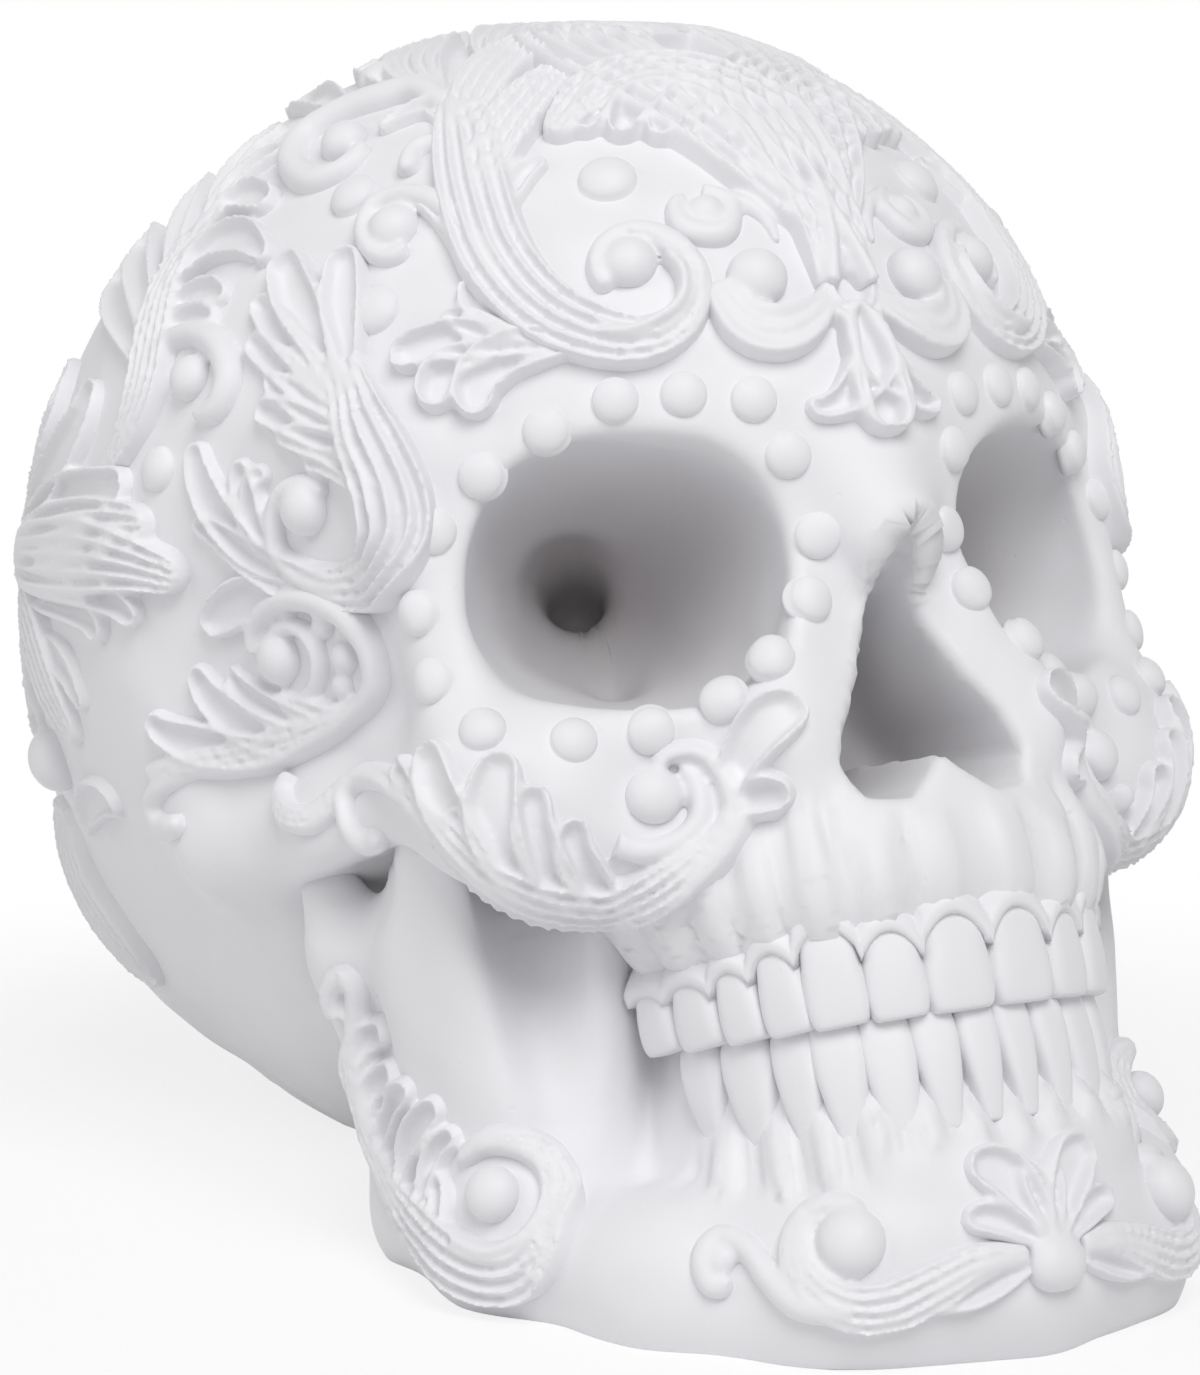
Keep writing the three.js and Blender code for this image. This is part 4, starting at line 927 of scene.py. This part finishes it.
side_ornaments["crown_leaf"] = [
    ("stalk", [(448, 112), (420, 96), (384, 104), (346, 118), (308, 142), (296, 168), (314, 186), (346, 176),
     (370, 150)], (3, 4, 4.2, 4, 4, 3.8, 3.4, 2.6), (1.8, 2.4, 2.6, 2.6, 2.6, 2.4, 2.2, 1.6)),
    ("spoon", [(450, 132), (436, 116), (410, 122), (380, 138)], (2, 3.6, 3.8, 2.4), (1.4, 2, 2, 1.5)),
    ("stalk", [(452, 160), (434, 150), (418, 160), (410, 182)], (1.8, 2.4, 2.8, 3), (1.2, 1.8, 2.2, 2)),
    ("fluted", [(440, 100), (418, 74), (434, 48), (470, 34)], (3, 8, 10, 6), (1.6, 2.4, 2.6, 2.2)),
    ("spoon", [(400, 96), (386, 84), (372, 76)], (3, 5, 5), (1.8, 2.6, 2.4)),
    ("spoon", [(350, 116), (330, 106), (306, 104), (288, 118)], (3, 5, 6, 4), (1.6, 2.3, 2.5, 2)),
    ("fluted", [(500, 70), (510, 46), (540, 28), (580, 22)], (5, 10, 12, 8), (1.8, 2.6, 2.8, 2.4)),
    ("ball", (348, 148), 3),
    ("ball", (380, 84), 2.6),
]
print(len(side_ornaments), "kinds of ornament so far")

# %% Cheek, jaw and chin
side_ornaments["cheek_scroll"] = [
    ("fluted", [(298, 776), (288, 798), (298, 818), (322, 820), (346, 798), (372, 778), (402, 782), (434, 808),
     (468, 842), (508, 874), (556, 892), (616, 894), (676, 880), (722, 852), (742, 816), (730, 774), (700, 750),
     (668, 752), (650, 770)], (3.2, 3.6, 3.4, 3.2, 3.8, 5, 6, 6.6, 6.2, 5, 4, 3, 2.2),
     (1.9, 2.3, 2.1, 2, 2.2, 2.5, 2.8, 2.9, 2.9, 2.7, 2.4, 2)),
    ("stalk", [(420, 800), (398, 786), (372, 782), (354, 794), (354, 816), (370, 836), (388, 832)],
     (1.6, 2.2, 2.4, 2.4, 2.4, 3, 3), (2.2, 2.4, 2.2, 2, 2, 2.2, 1.9)),
    ("stalk", [(612, 842), (640, 850), (676, 846), (702, 822), (698, 786), (680, 766)],
     (3, 2.8, 2.8, 3, 2.8, 2), (1.8, 2, 2.2, 2.2, 2, 1.6)),
    ("spoon", [(520, 880), (484, 842), (454, 796), (438, 744)], (2.4, 5, 6, 4.4), (2.2, 2.8, 2.8, 2.2)),
    ("spoon", [(548, 890), (516, 854), (500, 808), (506, 756)], (2.4, 5.4, 6.4, 4.4), (2.2, 2.9, 3, 2.4)),
    ("spoon", [(584, 894), (552, 862), (534, 826), (536, 786)], (2.4, 4.8, 5.2, 3.6), (2.2, 2.7, 2.7, 2.2)),
    ("spoon", [(618, 894), (590, 872), (570, 846), (572, 814)], (2.4, 4.6, 5, 3.6), (2.2, 2.7, 2.7, 2.2)),
    ("spoon", [(478, 852), (446, 818), (424, 788), (406, 760)], (2, 3.6, 4, 2.8), (2, 2.4, 2.3, 1.8)),
    ("spoon", [(540, 888), (498, 862), (474, 832), (464, 800)], (2, 3.6, 4, 2.6), (2, 2.4, 2.3, 1.8)),
    ("spoon", [(734, 812), (746, 772), (766, 736), (798, 706)], (2.6, 5, 6.6, 5.4), (2.2, 2.8, 2.9, 2.4)),
    ("spoon", [(736, 824), (754, 808), (774, 794), (798, 792)], (2.4, 4.4, 5.6, 4.4), (2, 2.6, 2.6, 2.2)),
    ("ball", (652, 800), 3.1),
]
side_ornaments["jaw_scroll"] = [
    ("fluted", [(345, 1014), (336, 994), (342, 974), (358, 976), (360, 1008), (362, 1052), (370, 1096),
     (386, 1146), (410, 1196), (444, 1240), (486, 1268), (528, 1268), (556, 1240), (562, 1202), (548, 1164),
     (518, 1142), (488, 1144), (468, 1166)], (2.6, 3, 3, 3.4, 4.2, 5, 5.8, 6.6, 7, 6.2, 4.8, 3.8, 2.6),
     (1.9, 2.1, 2.1, 2.3, 2.5, 2.7, 2.9, 3, 3, 2.8, 2.6, 2.2, 1.8)),
    ("spoon", [(366, 1100), (362, 1066), (372, 1038), (388, 1030)], (2, 4, 4.6, 3.4), (1.9, 2.2, 2.2, 1.8)),
    ("spoon", [(378, 1136), (378, 1104), (388, 1080), (402, 1068)], (2, 3.8, 4.2, 3), (1.9, 2.2, 2.2, 1.8)),
    ("spoon", [(396, 1176), (396, 1138), (404, 1104), (420, 1082)], (2, 4, 4.6, 3.2), (2.1, 2.5, 2.4, 1.8)),
    ("spoon", [(414, 1204), (418, 1162), (430, 1124), (450, 1098)], (2, 4, 4.6, 3.4), (2.1, 2.5, 2.5, 1.9)),
    ("spoon", [(432, 1226), (438, 1188), (448, 1152), (468, 1128)], (2, 3.8, 4, 3), (2.1, 2.4, 2.4, 1.8)),
    ("spoon", [(450, 1240), (452, 1216), (450, 1192), (440, 1170)], (2, 3.4, 3.4, 2.6), (2.1, 2.3, 2.1, 1.6)),
    ("stalk", [(470, 1240), (500, 1250), (530, 1240), (548, 1214)], (1.4, 2, 2, 1.4), (2.9, 3.3, 3.1, 2.4)),
    ("ball", (498, 1196), 3.1),
]
side_ornaments["chin_scroll"] = [
    ("fluted", [(1020, 1254), (976, 1262), (930, 1284), (888, 1302), (846, 1304), (814, 1284), (802, 1250),
     (814, 1220), (842, 1208), (868, 1218)], (2.6, 4.4, 5.4, 5.6, 5, 4.2, 3.4, 2.4),
     (1.8, 2.2, 2.4, 2.5, 2.4, 2.2, 2, 1.7)),
    ("stalk", [(850, 1308), (806, 1304), (776, 1280), (752, 1252), (722, 1242), (704, 1262), (714, 1286),
     (738, 1284)], (3, 3.4, 3.2, 3, 2.8, 2.8, 2.6), (2.2, 2.3, 2.1, 2, 1.9, 1.9, 1.6)),
    ("spoon", [(1024, 1266), (990, 1276), (956, 1288), (920, 1304)], (2, 4.4, 4.6, 2), (1.6, 2.2, 2.2, 1.4)),
    ("ball", (853, 1246), 3.6),
    ("ball", (722, 1264), 1.8),
]
print(len(side_ornaments), "kinds of ornament so far")

# %% On the middle line
middle_ornaments["forehead_crest"] = [
    ("fluted", [(822, 296), (808, 222), (776, 152), (724, 108), (664, 90), (612, 98), (572, 128), (556, 152)],
     (3, 7, 11, 12, 11, 9, 7, 4), (2.4, 3.2, 3.6, 3.8, 3.8, 3.6, 3.2, 2.6)),
    ("spoon", [(640, 94), (610, 108), (590, 130), (586, 148)], (3, 5, 5, 3.4), (3, 3.6, 3.4, 2.6)),
    ("spoon", [(672, 100), (644, 116), (626, 134), (618, 152)], (3, 5, 5, 3.4), (3, 3.6, 3.4, 2.6)),
    ("spoon", [(706, 108), (682, 122), (664, 138), (654, 154)], (3, 5, 5, 3.4), (3, 3.6, 3.4, 2.6)),
    ("spoon", [(738, 124), (720, 138), (706, 152), (696, 164)], (3, 5, 5, 3.4), (3, 3.4, 3.2, 2.4)),
    ("spoon", [(770, 152), (758, 166), (748, 180), (742, 194)], (3, 4.6, 4.6, 3), (2.8, 3.2, 3, 2.2)),
    ("fluted", [(826, 280), (826, 200), (804, 130), (768, 76), (718, 36), (672, 14)], (3, 8, 12, 14, 13, 8),
     (2, 2.8, 3.2, 3.2, 3, 2.6)),
    ("fluted", [(790, 120), (744, 66), (690, 46), (636, 48)], (6, 11, 12, 7), (2.2, 2.8, 3, 2.6)),
    ("stalk", [(822, 296), (818, 250), (808, 214), (790, 180), (768, 160)], (2.4, 2.2, 1.8, 1.4, 1),
     (3.2, 3.6, 3.8, 3.8, 3.4)),
    ("stalk", [(700, 198), (716, 202), (730, 216), (724, 238), (704, 242), (682, 234), (674, 214), (684, 204)],
     (1.8, 2, 2.4, 3, 3.2, 3, 2.4, 1.8), (1.5, 1.7, 1.8, 2, 2, 1.9, 1.7, 1.4)),
    ("stalk", [(724, 204), (744, 212), (764, 228), (776, 250)], (2, 2.2, 1.8, 1), (1.6, 1.6, 1.3, 0.8)),
    ("ball", (704, 220), 2.2),
]
middle_ornaments["glabella_palmette"] = [
    ("blade", [(822, 306), (800, 330), (772, 340), (742, 330), (722, 306), (712, 286)],
     (3, 5, 6.4, 6.4, 5, 2.6), (2.2, 2.8, 3.2, 3, 2.6, 1.8)),
    ("spoon", [(836, 316), (858, 340), (862, 372), (842, 404), (816, 412), (812, 398)],
     (3.4, 5.4, 6, 5.4, 4, 2.6), (2.4, 2.8, 3, 2.8, 2.4, 1.8)),
    ("spoon", [(852, 322), (864, 360), (876, 400), (884, 442)], (3, 5.4, 6.4, 5.2), (2.2, 2.9, 3.2, 2.8)),
    ("spoon", [(836, 312), (842, 296), (847, 282), (850, 270)], (6.4, 6.6, 5, 2), (2, 2.4, 2.2, 1.4)),
    ("ball", (754, 284), 3.4),
]
middle_ornaments["chin_flower"] = [
    ("spoon", [(1040, 1240), (1020, 1204), (992, 1174), (958, 1166)], (2.4, 5, 6, 4), (1.8, 2.4, 2.5, 2)),
    ("spoon", [(1036, 1246), (1010, 1230), (984, 1220), (956, 1222)], (2, 3.6, 4.2, 3), (1.6, 2, 2, 1.6)),
    ("spoon", [(1046, 1236), (1044, 1204), (1042, 1176), (1036, 1158)], (2, 3.2, 3.4, 2.4), (1.6, 2, 2, 1.5)),
    ("ball", (1052, 1262), 3),
]
print(len(middle_ornaments), "ornaments on the middle line")

# %% Lay, fuse and mirror them
carvings = []
for ornament, parts in side_ornaments.items():
    right = fused(f"right_{ornament}_carving", parts, both_halves=False)
    left = mirrored_piece(right, f"left_{ornament}_carving")
    carvings.append(finished(right, f"right_{ornament}"))
    carvings.append(finished(left, f"left_{ornament}"))
for ornament, parts in middle_ornaments.items():
    carvings.append(finished(fused(f"{ornament}_carving", parts, both_halves=True), ornament))
print(len(carvings), "ornaments with", sum(len(piece.data.polygons) for piece in carvings), "faces")

# %% [markdown]
# ## Teeth
# Each tooth starts as a ball of clay with rings. Its rings are squared and set to the tooth's own
# width and thickness from the biting edge up to the neck, so a crown is a closed body with soft
# corners. The lower ones run on as bare tapering roots, with dark gaps between them.

# %% One tooth from a ball
CROWN_HEIGHTS, CROWN_BURIED = (10.0, 9.0, 10.2, 8.6, 7.4, 6.8, 6.2), 3.2
CROWN_WIDTH_SHARES, CROWN_DEPTHS = (1.0, 1.03, 1.0, 0.94, 0.86, 0.74, 0.6), (3.6, 4.4, 5.2, 5.8, 6.0, 5.6, 4.6)
ROOT_LENGTHS = (12.5, 12.8, 15.2, 13.6, 12.6, 11.8, 11.0)
ROOT_WIDTH_SHARES, ROOT_DEPTHS = (1.0, 1.0, 0.96, 0.86, 0.74, 0.6, 0.46), (4.4, 5.0, 5.2, 5.2, 5.0, 4.6, 4.0)
# The crowns overlap a little, side by side and at the bite, as they do in one casting.
TOOTH_OVERLAP, BITE_OVERLAP = 0.1, 0.9
LOWER_INSET, LOWER_INSET_GROWTH = 1.6, 0.08
SQUARENESS, FULLNESS, BELLY = 3.6, 0.15, 0.35


def tooth_ball(name, start, width, edge_height, tall, width_shares, depths, inset, sign):
    """A ball reshaped from the biting edge up, or down where sign is -1."""
    bm = bmesh.new()
    bmesh.ops.create_uvsphere(bm, u_segments=36, v_segments=24, radius=1)
    ball = np.array([vert.co for vert in bm.verts])
    middle, along, out = row_place(start + width / 2)
    ring = np.hypot(ball[:, 0], ball[:, 1])
    turn = np.arctan2(ball[:, 1], ball[:, 0])
    high = (ball[:, 2] + 1) / 2
    fullness = ring**FULLNESS
    across = np.sign(np.cos(turn)) * np.abs(np.cos(turn)) ** (2 / SQUARENESS)
    deep = np.sign(np.sin(turn)) * np.abs(np.sin(turn)) ** (2 / SQUARENESS)
    half_width = (width + TOOTH_OVERLAP) / 2 * spread(width_shares, high) * fullness
    depth = spread(depths, high)
    face = BELLY * np.sin(np.pi * np.clip(high * 1.15, 0, 1)) - inset
    outward = face - depth / 2 + deep * depth / 2 * fullness
    points = middle + along * (across * half_width)[:, None] + out * outward[:, None]
    points[:, 2] = edge_height + sign * tall * high
    place_points(bm.verts, points)
    face_out(bm)
    return new_piece(name, bm)


def bite_height(length):
    """The height of the bite line, which rises towards the back."""
    return -BITE_DROP + BITE_RISE * (length / ROW_LENGTH) ** 2


def tooth_pair(row, number, *shape):
    """The left tooth and its mirror image, each hung on the root in place of its hidden CAD node."""
    left = tooth_ball(f"left_{row}_crown_{number}", *shape)
    right = mirrored_piece(left, f"right_{row}_crown_{number}")
    return [
        finished(left, f"left_{row}_tooth_{number}"),
        finished(right, f"right_{row}_tooth_{number}"),
    ]


# %% Both rows of teeth
teeth = []
start = 0.0
for number, width in enumerate(UPPER_WIDTHS, 1):
    edge = bite_height(start + width / 2)
    tall = CROWN_HEIGHTS[number - 1] + CROWN_BURIED
    teeth += tooth_pair("upper", number, start, width, edge, tall, CROWN_WIDTH_SHARES, CROWN_DEPTHS, 0.0, 1)
    start += width
start = 0.0
for number, (width, root) in enumerate(zip(LOWER_WIDTHS, ROOT_LENGTHS), 1):
    inset = LOWER_INSET + LOWER_INSET_GROWTH * (number - 1)
    edge = bite_height(start + width / 2) + BITE_OVERLAP
    teeth += tooth_pair("lower", number, start, width, edge, root, ROOT_WIDTH_SHARES, ROOT_DEPTHS, inset, -1)
    start += width
print(len(teeth), "teeth")

# %% [markdown]
# ## Gum
# Above the upper crowns the casting has a rolled edge that arches over each tooth. It is one long
# strip along the row, thickened, whose edge dips between the teeth and less so towards the back.

# %% Scalloped edge
GUM_STEPS, GUM_ROWS, GUM_THICK = 240, 12, 2.6
GUM_RISE, GUM_DIP, GUM_ROLL, BACK_FADE = 6.0, 3.8, 0.45, 0.75
GUM_OUT = (-3.0, -2.2, -1.2, -0.1, 0.75, 0.4)

bm = bmesh.new()
bmesh.ops.create_grid(bm, x_segments=GUM_STEPS, y_segments=GUM_ROWS, size=1)
under = bmesh.ops.extrude_face_region(bm, geom=list(bm.faces))
low = [item for item in under["geom"] if isinstance(item, bmesh.types.BMVert)]
bmesh.ops.translate(bm, verts=low, vec=(0, 0, -1))
joints = joints_between(UPPER_WIDTHS)
for vert in bm.verts:
    side, down, front = (1 if vert.co.x >= 0 else -1), (vert.co.y + 1) / 2, vert.co.z > -0.5
    length = abs(vert.co.x) * joints[-1]
    n = min(int(np.searchsorted(joints, length, side="right")) - 1, len(UPPER_WIDTHS) - 1)
    share = (length - joints[n]) / UPPER_WIDTHS[n]
    arch = abs(math.sin(math.pi * share)) ** 0.75
    strength = 1 - BACK_FADE * length / joints[-1]
    edge = CROWN_HEIGHTS[n] - GUM_DIP * strength * (1 - arch)
    place, _, out = row_place(length)
    section = float(np.interp(down, np.linspace(0, 1, len(GUM_OUT)), GUM_OUT))
    outward = section + GUM_ROLL * (arch - 0.5) * strength - (0 if front else GUM_THICK)
    spot = place + out * outward
    root_side = CROWN_HEIGHTS[n] + GUM_RISE
    spot[2] = bite_height(length) + root_side + (edge - root_side) * down
    vert.co = (side * spot[0], spot[1], spot[2])
face_out(bm)
upper_gum = finished(new_piece("upper_gum", bm), None)
print("the gum has", len(upper_gum.data.polygons), "faces")

# %% [markdown]
# ## Beads
# Rows of half beads follow the sockets, with single ones between the scrolls. They are cast on, so
# each is a ball whose upper half is spread over the skin as a low dome and whose lower half is
# its foot under the skin. That way a bead also sits well on a curved rim.

# %% Beads along the sockets and on the temples
SOCKET_BEADS = [
    (548, 432), (616, 403), (683, 397), (752, 402), (786, 456), (814, 536), (806, 602), (772, 662),
    (726, 702), (650, 731), (572, 744), (484, 734), (436, 682), (422, 614), (434, 534), (484, 476),
]
SINGLE_BEADS = [(608, 186, 3.3), (357, 200, 2.9), (380, 314, 3.0), (163, 470, 2.7)]
SOCKET_BEAD = 2.55
BEAD_RISE, BEAD_SKIRT, BEAD_FOOT = 0.62, 1.12, -1.4


def add_bead(bm, pixel, radius):
    """A low dome laid on the skin, its foot under it."""
    verts = bmesh.ops.create_uvsphere(bm, u_segments=32, v_segments=28, radius=1)["verts"]
    ball = np.array([vert.co for vert in verts])
    spot = seen_on_skin([pixel])
    out = unit(slope(whole_skin, spot))[0]
    turn = np.array(Vector(out).to_track_quat("Z", "Y").to_matrix())
    away = np.arccos(np.clip(np.abs(ball[:, 2]), 0, 1)) / (math.pi / 2) * BEAD_SKIRT
    spoke = ball[:, :2] / np.maximum(np.hypot(ball[:, 0], ball[:, 1]), 1e-6)[:, None]
    flat = spot + np.column_stack([spoke * (away * radius)[:, None], np.zeros(len(ball))]) @ turn.T
    dome = np.sqrt(np.clip(1 - (away / 1.03) ** 2, 0, 1))
    rise = np.where(ball[:, 2] > -0.01, radius * BEAD_RISE * dome - np.where(away > 1, 0.5, 0.1), BEAD_FOOT)
    place_points(verts, flat + out * (rise - np.clip(whole_skin(flat), -0.6, 1.2))[:, None])


bm = bmesh.new()
for pixel in SOCKET_BEADS:
    add_bead(bm, pixel, SOCKET_BEAD)
for x, y, radius in SINGLE_BEADS:
    add_bead(bm, (x, y), radius)
for face in bm.faces:
    face.smooth = True
right_beads = new_piece("right_beads", bm)
left_beads = mirrored_piece(right_beads, "left_beads")
beads = [finished(right_beads, None), finished(left_beads, None)]
print("each side has", len(SOCKET_BEADS) + len(SINGLE_BEADS), "beads")

# %% [markdown]
# ## Cast white finish
# The figurine is one satin white, like cast resin rubbed with a fine plaster slip, with painted shade
# that darkens it deep in the sockets and the nose. A slow tint, a fine grain and rare pin holes keep it
# from looking like plain plastic.

# %% Nodes from expressions
class Socket:
    """Wraps a node socket, so that maths on it adds Math nodes."""

    def __init__(self, tree, link):
        self.tree, self.link = tree, link

    def maths(self, operation, other):
        node = self.tree.nodes.new("ShaderNodeMath")
        node.operation = operation
        for slot, value in zip(node.inputs, [self, other]):
            if isinstance(value, Socket):
                self.tree.links.new(value.link, slot)
            else:
                slot.default_value = value
        return Socket(self.tree, node.outputs[0])

    def __add__(self, other):
        return self.maths("ADD", other)

    __radd__ = __add__

    def __mul__(self, other):
        return self.maths("MULTIPLY", other)

    __rmul__ = __mul__


def add_node(tree, kind, settings=None, inputs=None, output=0):
    """A node of a type, its settings first and then its sockets' values or links."""
    node = tree.nodes.new(kind)
    for name, value in (settings or {}).items():
        setattr(node, name, value)
    for name, value in (inputs or {}).items():
        if isinstance(value, Socket):
            tree.links.new(value.link, node.inputs[name])
        else:
            node.inputs[name].default_value = value
    return Socket(tree, node.outputs[output])


def rgba(colour):
    return (*colour, 1)


def mixed(factor, a, b):
    """One colour that goes over to another by a factor."""
    return add_node(factor.tree, "ShaderNodeMix", {"data_type": "RGBA"}, {"Factor": factor, "A": a, "B": b}, output=2)


def noise_at(place, scale, detail):
    return add_node(place.tree, "ShaderNodeTexNoise", inputs={"Vector": place, "Scale": scale, "Detail": detail})


# %% The cast finish
# The last colour is painted shade, laid into the sockets and the nose by how deep they go.
BONE_WHITE, BONE_SHADE, PAINTED_SHADE_COLOUR = (0.825, 0.822, 0.84), (0.79, 0.79, 0.815), (0.42, 0.4, 0.41)
TINT_SCALE, LUMP_SCALE, GRAIN_SCALE, PIT_SCALE = 38.0, 260.0, 1900.0, 210.0
OBJECT_COORDINATES = 3

white_bone = bpy.data.materials.new("cast_bone")
white_bone.use_nodes = True
tree = white_bone.node_tree
shader = tree.nodes["Principled BSDF"]
place = add_node(tree, "ShaderNodeTexCoord", output=OBJECT_COORDINATES)
slow = noise_at(place, TINT_SCALE, 3.0)
grain = noise_at(place, GRAIN_SCALE, 2.0)
lumps = noise_at(place, LUMP_SCALE, 3.0)
cells = add_node(tree, "ShaderNodeTexVoronoi", inputs={"Vector": place, "Scale": PIT_SCALE, "Randomness": 1.0})
pits = add_node(tree, "ShaderNodeMapRange", inputs={"Value": cells, "From Min": 0.03, "From Max": 0.085})
# Painted shade: the deeper a point lies under the outer skin, the more its colour goes over to the dark one.
painted_shade = add_node(tree, "ShaderNodeAttribute", {"attribute_name": "painted_shade"}, output=2)
mottled = mixed(slow, rgba(BONE_WHITE), rgba(BONE_SHADE))
tree.links.new(mixed(painted_shade, mottled, rgba(PAINTED_SHADE_COLOUR)).link, shader.inputs["Base Color"])
tree.links.new((0.5 + slow * 0.12).link, shader.inputs["Roughness"])
height = grain * 0.05 + lumps * 0.35 + pits * 0.5
bump = add_node(tree, "ShaderNodeBump", inputs={"Height": height, "Strength": 0.35, "Distance": 0.00022})
tree.links.new(bump.link, shader.inputs["Normal"])
shader.inputs["IOR"].default_value = 1.46

cast_pieces = [cranium, mandible, *carvings, *teeth, upper_gum, *beads]
for piece in cast_pieces:
    piece.data.materials.clear()
    piece.data.materials.append(white_bone)
print(len(cast_pieces), "pieces have the cast finish")

# %% [markdown]
# ## Studio
# A pale floor that fades to white, one broad lamp high in front, a weaker one on the left of the
# picture, and a surround that is white to the camera and in reflections and dimmer as a light.

# %% Floor and surround
FLOOR_GLOW, FLOOR_COLOUR, FLOOR_RADIUS = 0.78, (0.93, 0.93, 0.935), 3.0
SURROUND_LIGHT = 0.3
WHITE = (1, 1, 1)


def seen_directly(tree):
    """1 for what the camera, a reflection or a clear body shows, and 0 for what only lights."""
    rays = tree.nodes.new("ShaderNodeLightPath").outputs
    kinds = ("Camera", "Glossy", "Transmission")
    camera_ray, glossy_ray, clear_ray = (Socket(tree, rays[f"Is {kind} Ray"]) for kind in kinds)
    return camera_ray + glossy_ray + clear_ray


bm = bmesh.new()
bmesh.ops.create_circle(bm, cap_ends=True, segments=96, radius=FLOOR_RADIUS)
floor = new_piece("floor", bm)
floor_finish = bpy.data.materials.new("pale_floor")
floor_finish.use_nodes = True
tree = floor_finish.node_tree
tree.nodes.remove(tree.nodes["Principled BSDF"])
pale = add_node(tree, "ShaderNodeBsdfDiffuse", inputs={"Color": rgba(FLOOR_COLOUR)})
glow = add_node(tree, "ShaderNodeEmission", inputs={"Color": rgba(WHITE), "Strength": 1.0})
place = add_node(tree, "ShaderNodeTexCoord", output=OBJECT_COORDINATES)
reach = add_node(tree, "ShaderNodeVectorMath", {"operation": "LENGTH"}, {0: place}, output=1)
far = add_node(
    tree,
    "ShaderNodeMapRange",
    {"interpolation_type": "SMOOTHSTEP"},
    {"Value": reach, "From Min": 0.08, "From Max": 0.2, "To Min": FLOOR_GLOW},
)
surface = add_node(tree, "ShaderNodeMixShader", inputs={0: seen_directly(tree) * far, 1: pale, 2: glow})
tree.links.new(surface.link, tree.nodes["Material Output"].inputs[0])
floor.data.materials.append(floor_finish)

world = bpy.data.worlds.new("surround")
bpy.context.scene.world = world
world.use_nodes = True
tree = world.node_tree
background = tree.nodes["Background"]
background.inputs["Color"].default_value = rgba(WHITE)
strength = seen_directly(tree) * (1 - SURROUND_LIGHT) + SURROUND_LIGHT
tree.links.new(strength.link, background.inputs["Strength"])
print("the floor is", 2 * FLOOR_RADIUS, "m across")

# %% Lamps
LAMP_SIZE, LAMP_AIM = 0.8, Vector((0, 0, 0.07))


def lamp(name, place, power):
    """A round soft lamp that looks at the figurine's middle."""
    data = bpy.data.lights.new(name, "AREA")
    data.shape = "DISK"
    data.size = LAMP_SIZE
    data.energy = power
    light = bpy.data.objects.new(name, data)
    light.location = place
    light.rotation_euler = (Vector(place) - LAMP_AIM).to_track_quat("Z", "Y").to_euler()
    bpy.context.scene.collection.objects.link(light)
    print(name, "has", power, "W")


lamp("key_lamp", (-0.2, -0.8, 1.0), 9.0)
lamp("side_lamp", (-1.0, 0.1, 0.6), 2.4)

bpy.context.scene.view_settings.view_transform = "Standard"
